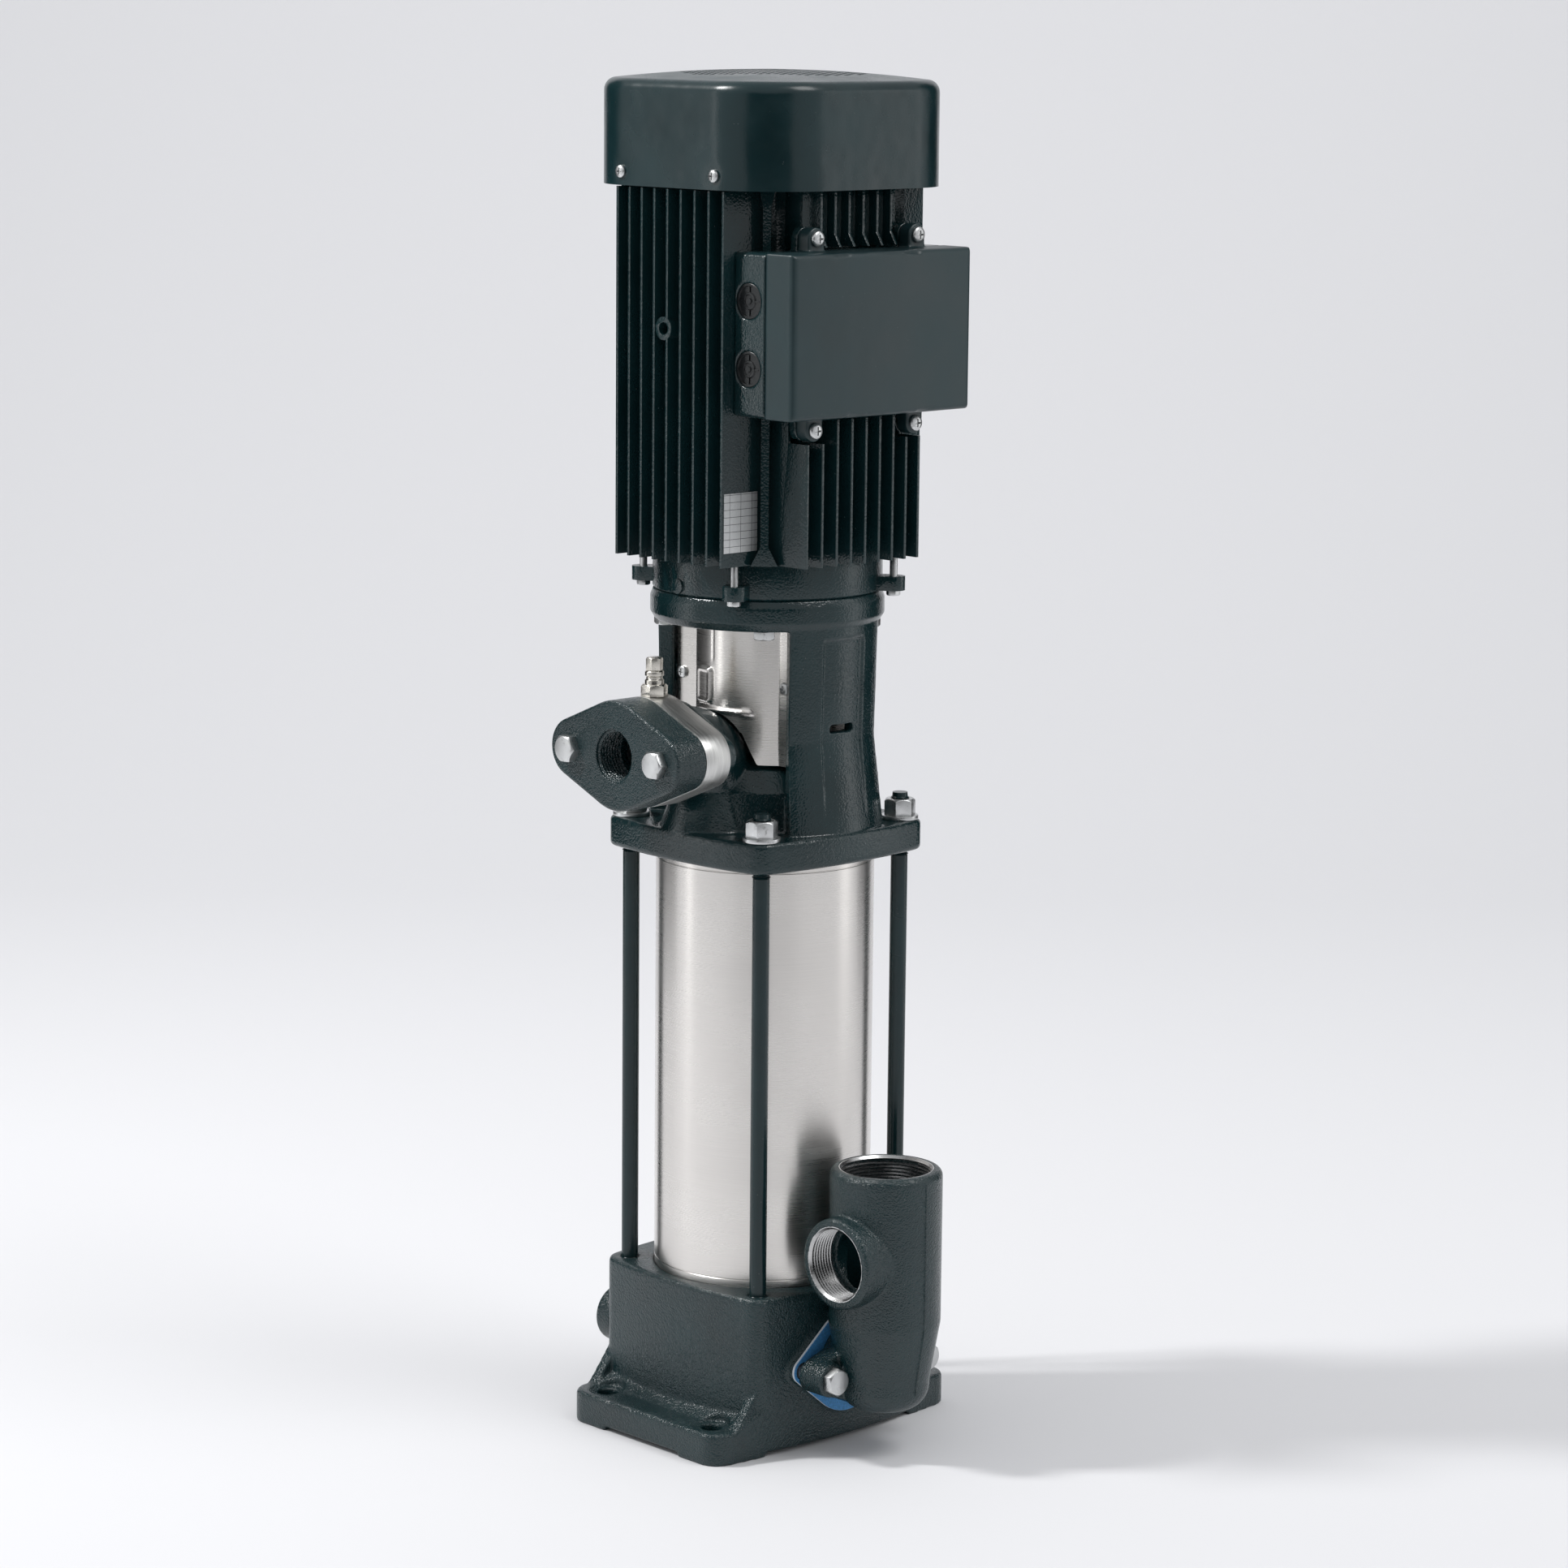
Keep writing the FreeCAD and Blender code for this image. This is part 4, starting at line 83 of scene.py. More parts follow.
class Graph:
    """Adds nodes to a tree and links them."""

    def __init__(self, tree: bpy.types.NodeTree) -> None:
        """Take the tree and empty it."""
        self.tree = tree
        tree.nodes.clear()

    def put(self, node: bpy.types.Node, key: Union[str, int], value: Source) -> None:
        """Give one of a node's sockets its source or its value.

        Args:
            node: The node.
            key: Name or index of the socket.
            value: Source socket or plain value.
        """
        if isinstance(value, Socket):
            self.tree.links.new(value, node.inputs[key])
        else:
            node.inputs[key].default_value = value

    def add(self, kind: str, inputs: Optional[dict] = None, **settings: Any) -> bpy.types.Node:
        """Add one node.

        Args:
            kind: Blender's node type.
            inputs: Plain values or source sockets, by socket name or index.
            settings: Attributes of the node.

        Returns:
            The new node.
        """
        node = self.tree.nodes.new(kind)
        for key, value in settings.items():
            setattr(node, key, value)
        for key, value in (inputs or {}).items():
            self.put(node, key, value)
        return node

    def math(self, operation: str, first: Source, second: Source = 0.0, third: Source = 0.0,
             clamp: bool = False) -> Socket:
        """Add a math node.

        Args:
            operation: The node's operation.
            first: Value or socket.
            second: Value or socket.
            third: Value or socket.
            clamp: Whether the result is kept within 0 and 1.

        Returns:
            The result socket.
        """
        return self.add("ShaderNodeMath", {0: first, 1: second, 2: third}, operation=operation,
                        use_clamp=clamp).outputs[0]

    def noise(self, vector: Socket, scale: Source, detail: float = 3.0, rough: float = 0.5) -> Socket:
        """Add a noise texture.

        Args:
            vector: Coordinate socket.
            scale: Patches per metre.
            detail: Octaves.
            rough: Weight of the finer octaves.

        Returns:
            The value socket.
        """
        return self.add("ShaderNodeTexNoise", {"Vector": vector, "Scale": scale, "Detail": detail,
                                               "Roughness": rough}).outputs["Fac"]

    def cells(self, vector: Socket, scale: Source, feature: str = "F1") -> Socket:
        """Add a Voronoi texture.

        Args:
            vector: Coordinate socket.
            scale: Cells per metre.
            feature: Which distance it gives.

        Returns:
            The distance socket.
        """
        return self.add("ShaderNodeTexVoronoi", {"Vector": vector, "Scale": scale},
                        feature=feature).outputs["Distance"]

    def span(self, value: Socket, low: float, high: float, to_low: float = 0.0,
             to_high: float = 1.0) -> Socket:
        """Map a value's range, with the result clamped.

        Args:
            value: Source socket.
            low: Value that becomes to_low.
            high: Value that becomes to_high.
            to_low: Result at the low end.
            to_high: Result at the high end.

        Returns:
            The result socket.
        """
        return self.add("ShaderNodeMapRange", {0: value, 1: low, 2: high, 3: to_low,
                                               4: to_high}).outputs[0]

    def blend(self, factor: Source, first: Source, second: Source) -> Socket:
        """Mix two colours.

        Args:
            factor: Mixing value or socket.
            first: Colour or socket at 0.
            second: Colour or socket at 1.

        Returns:
            The colour socket.
        """
        node = self.add("ShaderNodeMix", {0: factor}, data_type="RGBA")
        for index, colour in ((6, first), (7, second)):
            self.put(node, index, colour if isinstance(colour, Socket) else (*colour, 1.0))
        return node.outputs[2]

    def mottle(self, value: Socket, first: Source, second: Source, low: float = 0.3,
               high: float = 0.7) -> Socket:
        """Mix two colours over the usual range of a noise.

        Args:
            value: The noise.
            first: Colour at the low end.
            second: Colour at the high end.
            low: Noise value of the low end.
            high: Noise value of the high end.

        Returns:
            The colour socket.
        """
        return self.blend(self.span(value, low, high), first, second)

    def axis(self, vector: Socket, name: str) -> Socket:
        """Give the X, Y or Z share of a vector."""
        return self.add("ShaderNodeSeparateXYZ", {0: vector}).outputs[name]

    def outward(self, name: str) -> Socket:
        """Give the X, Y or Z share of the surface's normal."""
        return self.axis(self.add("ShaderNodeNewGeometry").outputs["Normal"], name)

    def bump(self, height: Socket, distance: Source, strength: float = 1.0,
             normal: Optional[Socket] = None) -> Socket:
        """Add a bump node.

        Args:
            height: Height socket.
            distance: Depth of the relief in metres.
            strength: Share of the relief that shows.
            normal: Normal that it starts from.

        Returns:
            The normal socket.
        """
        inputs = {"Strength": strength, "Distance": distance, "Height": height}
        if normal is not None:
            inputs["Normal"] = normal
        return self.add("ShaderNodeBump", inputs).outputs["Normal"]


VECTOR = "NodeSocketVector"
VALUE = "NodeSocketFloat"


def open_group(name: str, inputs: dict[str, str], outputs: dict[str, str]) -> tuple[Graph, Any]:
    """Start a shader node group.

    Args:
        name: Name of the group.
        inputs: Socket types by socket name.
        outputs: Socket types by socket name.

    Returns:
        The group's graph and the sockets that its inputs come from.
    """
    tree = bpy.data.node_groups.new(name, "ShaderNodeTree")
    for side, sockets in (("INPUT", inputs), ("OUTPUT", outputs)):
        for key, kind in sockets.items():
            tree.interface.new_socket(key, in_out=side, socket_type=kind)
    graph = Graph(tree)
    return graph, graph.add("NodeGroupInput").outputs


def cast_grain() -> bpy.types.NodeTree:
    """Build the group for the rough skin of a painted sand casting.

    Returns:
        The group's node tree.
    """
    graph, source = open_group("cast_grain", {"Vector": VECTOR, "Scale": VALUE, "Depth": VALUE},
                               {"Normal": VECTOR})
    coarse = graph.noise(source["Vector"], source["Scale"], 4.0, 0.62)
    pit_scale = graph.math("MULTIPLY", source["Scale"], 2.7)
    pits = graph.cells(source["Vector"], pit_scale, "SMOOTH_F1")
    height = graph.math("MULTIPLY_ADD", graph.span(pits, 0.1, 0.75, 1.0, 0.0), 0.55, coarse)
    graph.add("NodeGroupOutput", {"Normal": graph.bump(height, source["Depth"])})
    return graph.tree


def soft_skin() -> bpy.types.NodeTree:
    """Build the group for the slow waves and fine flow marks of a gloss paint.

    Returns:
        The group's node tree.
    """
    graph, source = open_group("soft_skin", {"Vector": VECTOR, "Waves": VALUE, "Peel": VALUE},
                               {"Normal": VECTOR})
    waves = graph.bump(graph.noise(source["Vector"], 55.0, 1.0), source["Waves"])
    peel = graph.bump(graph.noise(source["Vector"], 620.0, 2.0), source["Peel"], normal=waves)
    graph.add("NodeGroupOutput", {"Normal": peel})
    return graph.tree


def settled_dust() -> bpy.types.NodeTree:
    """Build the group for dust that lies on upward faces and as scattered specks.

    Returns:
        The group's node tree.
    """
    graph, source = open_group("settled_dust", {"Vector": VECTOR}, {"Film": VALUE, "Specks": VALUE})
    upward = graph.span(graph.outward("Z"), 0.35, 0.95)
    clouds = graph.span(graph.noise(source["Vector"], 28.0), 0.35, 0.7)
    specks = graph.span(graph.cells(source["Vector"], 240.0), 0.06, 0.1, 1.0, 0.0)
    rare = graph.span(graph.noise(source["Vector"], 90.0, 1.0), 0.56, 0.62)
    graph.add("NodeGroupOutput", {"Film": graph.math("MULTIPLY", upward, clouds),
                                  "Specks": graph.math("MULTIPLY", specks, rare)})
    return graph.tree


def brush_streaks() -> bpy.types.NodeTree:
    """Build the group for fine parallel lines along one stretched axis.

    Returns:
        The group's node tree.
    """
    graph, source = open_group("brush_streaks", {"Vector": VECTOR, "Stretch": VECTOR},
                               {"Streak": VALUE, "Cloud": VALUE})
    scaled = graph.add("ShaderNodeVectorMath", {0: source["Vector"], 1: source["Stretch"]},
                       operation="MULTIPLY").outputs[0]
    graph.add("NodeGroupOutput", {"Streak": graph.noise(scaled, 1.0, 5.0, 0.7),
                                  "Cloud": graph.noise(source["Vector"], 18.0, 2.0)})
    return graph.tree


GROUPS = {"grain": cast_grain(), "skin": soft_skin(), "dust": settled_dust(),
          "brush": brush_streaks()}


# Finishes


@dataclass(frozen=True)
class Finish:
    """A surface finish that can build its own material."""

    colour: Colour
    roughness: float
    metallic: float = 0.0

    def build(self, name: str) -> bpy.types.Material:
        """Build the material, in place of one of that name if there is one.

        Args:
            name: Name of the material.

        Returns:
            The material.
        """
        to = Surface(name, self)
        self.dress(to)
        return to.material

    def dress(self, to: "Surface") -> None:
        """Add the finish's own nodes, which each kind of finish does in its way."""
        raise NotImplementedError

    def tint(self, factor: float) -> Colour:
        """Give the colour made darker or lighter, with no share above 1."""
        return tuple(min(c * factor, 1.0) for c in self.colour)


class Surface(Graph):
    """A material's graph with its Principled BSDF and Object coordinates."""

    def __init__(self, name: str, finish: Finish) -> None:
        """Find or make the material and start its graph.

        Args:
            name: Name of the material.
            finish: Finish that gives the shader's plain values.
        """
        self.material = bpy.data.materials.get(name) or bpy.data.materials.new(name)
        self.material.use_nodes = True
        super().__init__(self.material.node_tree)
        self.shader = self.add("ShaderNodeBsdfPrincipled", {"Base Color": (*finish.colour, 1.0),
                                                            "Roughness": finish.roughness,
                                                            "Metallic": finish.metallic})
        self.add("ShaderNodeOutputMaterial", {"Surface": self.shader.outputs[0]})
        self.place = self.add("ShaderNodeTexCoord").outputs["Object"]

    def use(self, key: str, **inputs: Source) -> Any:
        """Add one of the shared groups, read at the object's coordinates.

        Args:
            key: Key of the group.
            inputs: Values or sources by socket name.

        Returns:
            The group's outputs.
        """
        node = self.add("ShaderNodeGroup", {"Vector": self.place, **inputs}, node_tree=GROUPS[key])
        return node.outputs

    def feed(self, key: str, value: Source) -> None:
        """Give one of the shader's sockets its source or its value."""
        self.put(self.shader, key, value)


@dataclass(frozen=True)
class Paint(Finish):
    """Dark paint on metal, from rough casting to pressed sheet."""

    grain: float = 0.0
    grain_scale: float = 420.0
    waves: float = 0.0004
    peel: float = 0.00003
    specular: float = 0.42
    dust: float = 0.25
    film_share: float = 0.12
    speck_share: float = 0.9
    film_colour: Colour = (0.33, 0.34, 0.33)
    speck_colour: Colour = (0.42, 0.43, 0.42)

    def dress(self, to: Surface) -> None:
        """Add the paint's clouds, its dust and its skin.

        Args:
            to: The material's graph.
        """
        dust = to.use("dust")
        cloud = to.noise(to.place, 22.0)
        film = to.math("MULTIPLY", dust["Film"], self.dust * self.film_share)
        specks = to.math("MULTIPLY", dust["Specks"], self.dust * self.speck_share)
        tone = to.mottle(cloud, self.tint(0.82), self.tint(1.2), high=0.75)
        tone = to.blend(film, tone, self.film_colour)
        to.feed("Base Color", to.blend(specks, tone, self.speck_colour))
        rough = to.span(cloud, 0.25, 0.75, self.roughness - 0.06, self.roughness + 0.08)
        to.feed("Roughness", to.math("MULTIPLY_ADD", film, 2.0, rough, clamp=True))
        to.feed("Specular IOR Level", self.specular)
        if self.grain:
            skin = to.use("grain", Scale=self.grain_scale, Depth=self.grain)
        else:
            skin = to.use("skin", Waves=self.waves, Peel=self.peel)
        to.feed("Normal", skin["Normal"])


@dataclass(frozen=True)
class Brushed(Finish):
    """Bare metal with fine lines along one direction."""

    metallic: float = 1.0
    stretch: Point = (900.0, 900.0, 14.0)
    contrast: float = 0.12
    stain: Colour = (0.32, 0.30, 0.27)
    anisotropic: float = 0.45
    turn: float = 0.0
    spread: float = 0.07
    depth: float = 0.00001

    def dress(self, to: Surface) -> None:
        """Add the lines, the stains and the stretched shine.

        Args:
            to: The material's graph.
        """
        brush = to.use("brush", Stretch=self.stretch)
        streak = brush["Streak"]
        cloud = to.span(brush["Cloud"], 0.35, 0.8)
        tone = to.mottle(streak, self.tint(1 - self.contrast), self.tint(1 + self.contrast))
        to.feed("Base Color", to.blend(to.math("MULTIPLY", cloud, 0.08), tone, self.stain))
        rough = to.span(streak, 0.3, 0.72, self.roughness - self.spread, self.roughness + self.spread)
        to.feed("Roughness", to.math("MULTIPLY_ADD", cloud, 0.05, rough))
        to.feed("Anisotropic", self.anisotropic)
        to.feed("Anisotropic Rotation", self.turn)
        to.feed("Normal", to.bump(streak, self.depth, 0.5))


@dataclass(frozen=True)
class Metal(Finish):
    """Plated, turned or ground metal with handling marks."""

    metallic: float = 1.0
    mark: Colour = (0.12, 0.12, 0.12)
    mark_share: float = 0.25
    mark_scale: float = 160.0
    depth: float = 0.00002

    def dress(self, to: Surface) -> None:
        """Add the marks, the clouds and the fine relief.

        Args:
            to: The material's graph.
        """
        patches = to.noise(to.place, self.mark_scale, 4.0, 0.6)
        edge = 0.72 - self.mark_share * 0.4
        marks = to.math("MULTIPLY", to.span(patches, edge, edge + 0.1), 0.6)
        tone = to.mottle(to.noise(to.place, 60.0, 2.0), self.tint(0.85), self.tint(1.1))
        to.feed("Base Color", to.blend(marks, tone, self.mark))
        to.feed("Roughness", to.span(patches, 0.3, 0.8, self.roughness - 0.06, self.roughness + 0.2))
        to.feed("Normal", to.bump(to.noise(to.place, 900.0, 2.0), self.depth, 0.6))


@dataclass(frozen=True)
class Moulded(Finish):
    """Plastic, rubber or ceramic with a faint moulded texture."""

    depth: float = 0.00003
    scale: float = 700.0

    def dress(self, to: Surface) -> None:
        """Add the clouds and the moulded grain.

        Args:
            to: The material's graph.
        """
        grain = to.noise(to.place, self.scale)
        to.feed("Base Color", to.mottle(to.noise(to.place, 35.0, 2.0), self.tint(0.85), self.tint(1.15)))
        to.feed("Roughness", to.span(grain, 0.3, 0.7, self.roughness - 0.05, self.roughness + 0.07))
        to.feed("Normal", to.bump(grain, self.depth, 0.7))


@dataclass(frozen=True)
class GasketSheet(Finish):
    """Blue fibre sheet whose cut edge is paler and shows its layers."""

    edge: Colour = (0.74, 0.76, 0.77)
    layers_per_metre: float = 700.0
    depth: float = 0.00004

    def dress(self, to: Surface) -> None:
        """Add the fibres of the faces and the layers of the edge.

        Args:
            to: The material's graph.
        """
        flat = to.span(to.math("ABSOLUTE", to.outward("X")), 0.4, 0.8)
        layer = to.math("FRACT", to.math("MULTIPLY", to.axis(to.place, "X"), self.layers_per_metre))
        edge = to.blend(to.span(layer, 0.55, 0.9, 0.0, 0.35), self.edge, self.colour)
        fibres = to.noise(to.place, 900.0)
        face = to.mottle(fibres, self.colour, self.tint(1.5), low=0.4)
        to.feed("Base Color", to.blend(flat, edge, face))
        to.feed("Normal", to.bump(fibres, self.depth, 0.6))


@dataclass(frozen=True)
class RuledPlate(Finish):
    """Pale printed plate with empty ruled fields, its sizes in millimetres."""

    metallic: float = 0.35
    row: float = 4.6
    column: float = 9.3
    line_width: float = 0.3
    row_shift: float = 0.1
    column_shift: float = 0.62
    line: Colour = (0.06, 0.065, 0.07)
    depth: float = 0.00002

    def dress(self, to: Surface) -> None:
        """Add the ruled lines and the print's grain.

        Args:
            to: The material's graph.
        """
        ruled = []
        whole_pitches = 100.0
        for axis, pitch, shift in (("Z", self.row, self.row_shift), ("Y", self.column, self.column_shift)):
            along = to.math("MULTIPLY_ADD", to.axis(to.place, axis), 1.0 / (pitch * MM),
                            shift + whole_pitches)
            ruled.append(to.math("LESS_THAN", to.math("FRACT", along), self.line_width / pitch))
        grain = to.noise(to.place, 500.0)
        tone = to.mottle(grain, self.tint(0.9), self.colour)
        to.feed("Base Color", to.blend(to.math("MAXIMUM", *ruled), tone, self.line))
        to.feed("Roughness", to.span(grain, 0.3, 0.7, self.roughness - 0.05, self.roughness + 0.08))
        to.feed("Normal", to.bump(grain, self.depth, 0.4))


@dataclass(frozen=True)
class Layers(Finish):
    """Stacked laminations or wound wire seen as fine level lines."""

    metallic: float = 0.8
    pitch: float = 0.5
    depth: float = 0.0001

    def dress(self, to: Surface) -> None:
        """Add the lines, which waver a little.

        Args:
            to: The material's graph.
        """
        wavy = to.math("MULTIPLY_ADD", to.noise(to.place, 120.0, 2.0), 0.0006, to.axis(to.place, "Z"))
        layer = to.math("FRACT", to.math("MULTIPLY", wavy, 1.0 / (self.pitch * MM)))
        ridge = to.math("PINGPONG", layer, 0.5)
        to.feed("Base Color", to.mottle(ridge, self.tint(0.35), self.colour, 0.05, 0.3))
        to.feed("Normal", to.bump(ridge, self.depth, 0.8))


FINISHES: dict[Slot, Finish] = {
    Slot.TEXTURED: Paint((0.0048, 0.0215, 0.0245), 0.19, grain=0.0006, grain_scale=380.0,
                         specular=0.6, dust=0.25),
    Slot.GLOSS: Paint((0.0045, 0.0195, 0.0220), 0.16, grain=0.0002, grain_scale=300.0, specular=0.55,
                      dust=0.2),
    Slot.SHEET: Paint((0.0045, 0.0205, 0.0235), 0.25, specular=0.47, dust=0.1),
    Slot.LID: Paint((0.008, 0.025, 0.0285), 0.36, waves=0.0002, peel=0.00002, specular=0.52, dust=0.08),
    Slot.STAY: Paint((0.0045, 0.0185, 0.0210), 0.22, waves=0.0003, peel=0.00006, dust=0.1),
    Slot.GASKET: GasketSheet((0.05, 0.22, 0.47), 0.6),
    Slot.SEAL_RUBBER: Moulded((0.018, 0.018, 0.018), 0.62),
    Slot.ZINC: Metal((0.66, 0.67, 0.67), 0.3, mark=(0.2, 0.2, 0.19), mark_share=0.3, depth=0.00004),
    Slot.STAINLESS: Brushed((0.77, 0.745, 0.715), 0.27, stretch=(12.0, 12.0, 1700.0), contrast=0.03,
                            anisotropic=0.5, turn=0.25, spread=0.03, depth=0.0000003),
    Slot.BARE: Brushed((0.66, 0.66, 0.645), 0.36, stretch=(40.0, 700.0, 40.0), contrast=0.16,
                       stain=(0.1, 0.1, 0.09), anisotropic=0.2),
    Slot.NICKEL: Metal((0.72, 0.69, 0.63), 0.2, mark=(0.35, 0.3, 0.2), mark_share=0.15),
    Slot.CERAMIC: Moulded((0.05, 0.05, 0.055), 0.18, depth=0.000005),
    Slot.COUPLING: Metal((0.22, 0.22, 0.22), 0.45, mark=(0.08, 0.06, 0.045), mark_share=0.4),
    Slot.SHAFT: Brushed((0.52, 0.52, 0.52), 0.25, stretch=(60.0, 60.0, 1500.0)),
    Slot.LAMINATION: Layers((0.26, 0.26, 0.27), 0.45),
    Slot.COPPER: Layers((0.45, 0.15, 0.06), 0.35, pitch=1.2),
    Slot.PLASTIC: Moulded((0.006, 0.008, 0.009), 0.34),
    Slot.PLATE: RuledPlate((0.60, 0.61, 0.61), 0.36),
}

MATERIALS: dict[Slot, bpy.types.Material] = {}


# Mesh building


WELD_MM = 0.0005
NODE_WELD_M = 0.000002
BEVEL_DEGREES = 30.0
SHARP_DEGREES = 32.0


class Shape:
    """A mesh under construction, in millimetres unless its maker says otherwise."""

    def __init__(self) -> None:
        """Start empty."""
        self.bm = bmesh.new()

    def join(self, first: Sequence, second: Sequence, closed: bool = True) -> None:
        """Join two rows of vertices of equal length with quads.

        Args:
            first: Vertices of one row.
            second: Vertices of the other row.
            closed: Whether each row's last vertex joins its first.
        """
        for i in range(len(first) if closed else len(first) - 1):
            j = (i + 1) % len(first)
            self.bm.faces.new((first[i], first[j], second[j], second[i]))

    def loft(self, rings: Sequence[Sequence[Point]], closed: bool = True) -> list:
        """Join rings of equal length with quads.

        Args:
            rings: Lists of points, one list for each ring.
            closed: Whether each ring's last point joins its first.

        Returns:
            The vertices of each ring.
        """
        rows = [[self.bm.verts.new(p) for p in ring] for ring in rings]
        for low, high in zip(rows, rows[1:]):
            self.join(low, high, closed)
        return rows

    def move_new(self, before: set, matrix: Matrix) -> None:
        """Place the vertices that are new since the set was taken."""
        fresh = [v for v in self.bm.verts if v not in before]
        bmesh.ops.transform(self.bm, matrix=matrix, verts=fresh)

    def lathe(self, profile: Sequence[Pair], steps: int = 64,
              matrix: Matrix = Matrix(), close: bool = False) -> None:
        """Spin a profile of radius and height pairs about the Z axis.

        Args:
            profile: Radius and height pairs.
            steps: Facets of a full turn.
            matrix: Where the turned piece goes.
            close: Whether the profile's last point joins its first.
        """
        verts = [self.bm.verts.new((r, 0.0, z)) for r, z in profile]
        pairs = list(zip(verts, verts[1:]))
        if close:
            pairs.append((verts[-1], verts[0]))
        edges = [self.bm.edges.new(pair) for pair in pairs]
        before = set(self.bm.verts) - set(verts)
        bmesh.ops.spin(self.bm, geom=verts + edges, cent=(0, 0, 0), axis=(0, 0, 1),
                       angle=2 * math.pi, steps=steps, use_merge=True)
        fresh = [v for v in self.bm.verts if v not in before]
        bmesh.ops.remove_doubles(self.bm, verts=fresh, dist=WELD_MM)
        self.move_new(before, matrix)

    def thread(self, root: float, crest: float, pitch: float, length: float,
               matrix: Matrix = Matrix(), steps: int = 48) -> None:
        """Add a helical thread ridge about the Z axis, rising from z = 0.

        Args:
            root: Radius where the ridge stands on its wall.
            crest: Radius of the ridge's top.
            pitch: Rise of one turn.
            length: Length of the thread.
            matrix: Where the thread goes.
            steps: Facets of one turn.
        """
        before = set(self.bm.verts)
        foot, shoulder = 0.06, 0.44
        profile = [(root, foot), (crest, shoulder), (crest, 1.0 - shoulder), (root, 1.0 - foot)]
        verts = [self.bm.verts.new((r, 0.0, z * pitch)) for r, z in profile]
        edges = [self.bm.edges.new(pair) for pair in zip(verts, verts[1:] + verts[:1])]
        turns = length / pitch - 1.0
        self.bm.faces.new(verts)
        result = bmesh.ops.spin(self.bm, geom=verts + edges, cent=(0, 0, 0), axis=(0, 0, 1),
                                dvec=(0, 0, pitch / steps), angle=2 * math.pi * turns,
                                steps=int(turns * steps))
        last = [e for e in result["geom_last"] if isinstance(e, bmesh.types.BMEdge)]
        bmesh.ops.edgenet_fill(self.bm, edges=last)
        self.move_new(before, matrix)

    def copies(self, source: bpy.types.Mesh, places: Iterable[Matrix]) -> None:
        """Add a finished mesh at several places.

        Args:
            source: Mesh in millimetres.
            places: Transformation of each copy.
        """
        for place in places:
            before = set(self.bm.verts)
            self.bm.from_mesh(source)
            self.move_new(before, place)

    def mesh(self, name: str, scale: float = MM, smooth: float = 35.0) -> bpy.types.Mesh:
        """Write the shape to a mesh with its faces outwards.

        Args:
            name: Name of the mesh.
            scale: Scale from the shape's units.
            smooth: Angle in degrees up to which edges are shaded smooth.

        Returns:
            The new mesh.
        """
        bmesh.ops.recalc_face_normals(self.bm, faces=self.bm.faces)
        bmesh.ops.scale(self.bm, vec=(scale, scale, scale), verts=self.bm.verts)
        mesh = bpy.data.meshes.new(name)
        self.bm.to_mesh(mesh)
        self.bm.free()
        mesh.shade_smooth()
        mesh.set_sharp_from_angle(angle=math.radians(smooth))
        return mesh


def piece(name: str, mesh: bpy.types.Mesh, slot: Slot, body: str = "pump",
          stands_for: Sequence[str] = ()) -> bpy.types.Object:
    """Put a finished mesh in the scene as a piece of the object.

    Args:
        name: Name of the object.
        mesh: Its mesh, in metres.
        slot: Material slot it takes its finish from.
        body: Body that it rides on.
        stands_for: CAD nodes that it replaces.

    Returns:
        The new object.
    """
    obj = bpy.data.objects.new(name, mesh)
    bpy.context.scene.collection.objects.link(obj)
    mesh.materials.clear()
    mesh.materials.append(MATERIALS[slot])
    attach(obj, body)
    if stands_for:
        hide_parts(*stands_for)
    log.info("%s: %d faces", name, len(mesh.polygons))
    return obj


def node_shape(node: str, angle: float = 1.5) -> Shape:
    """Copy a CAD node's mesh, merged and with its flat faces joined.

    Args:
        node: Name of the CAD node.
        angle: Largest turn in degrees over which faces are joined.

    Returns:
        The copy as a shape in metres.
    """
    shape = Shape()
    shape.bm.from_mesh(frame["nodes"][node].data)
    bmesh.ops.remove_doubles(shape.bm, verts=shape.bm.verts, dist=NODE_WELD_M)
    if angle:
        bmesh.ops.dissolve_limit(shape.bm, angle_limit=math.radians(angle), verts=shape.bm.verts,
                                 edges=shape.bm.edges, use_dissolve_boundaries=False)
    return shape


def finished(obj: bpy.types.Object, name: str) -> bpy.types.Mesh:
    """Evaluate an object's modifiers to a mesh and drop the object.

    Args:
        obj: Object with modifiers.
        name: Name of the new mesh.

    Returns:
        The evaluated mesh.
    """
    graph = bpy.context.evaluated_depsgraph_get()
    mesh = bpy.data.meshes.new_from_object(obj.evaluated_get(graph))
    mesh.name = name
    bpy.data.objects.remove(obj)
    return mesh


def holder(mesh: bpy.types.Mesh) -> bpy.types.Object:
    """Put a mesh in the scene for its modifiers.

    Args:
        mesh: The mesh.

    Returns:
        The object.
    """
    obj = bpy.data.objects.new(mesh.name, mesh)
    bpy.context.scene.collection.objects.link(obj)
    return obj


def soften(node: str, slot: Slot, width: float, segments: int = 2,
           body: str = "pump") -> bpy.types.Object:
    """Show a CAD node with its sharp edges rounded.

    Args:
        node: Name of the CAD node.
        slot: Material slot.
        width: Width of the rounding in millimetres.
        segments: Facets of the rounding.
        body: Body that it rides on.

    Returns:
        The new object.
    """
    obj = holder(node_shape(node).mesh(node + "_soft", 1.0))
    bevel = obj.modifiers.new("edges", "BEVEL")
    bevel.width = width * MM
    bevel.segments = segments
    bevel.limit_method = "ANGLE"
    bevel.angle_limit = math.radians(BEVEL_DEGREES)
    bevel.miter_outer = "MITER_ARC"
    mesh = finished(obj, node + "_soft")
    mesh.shade_smooth()
    mesh.set_sharp_from_angle(angle=math.radians(SHARP_DEGREES))
    return piece(node + "_soft", mesh, slot, body, [node])


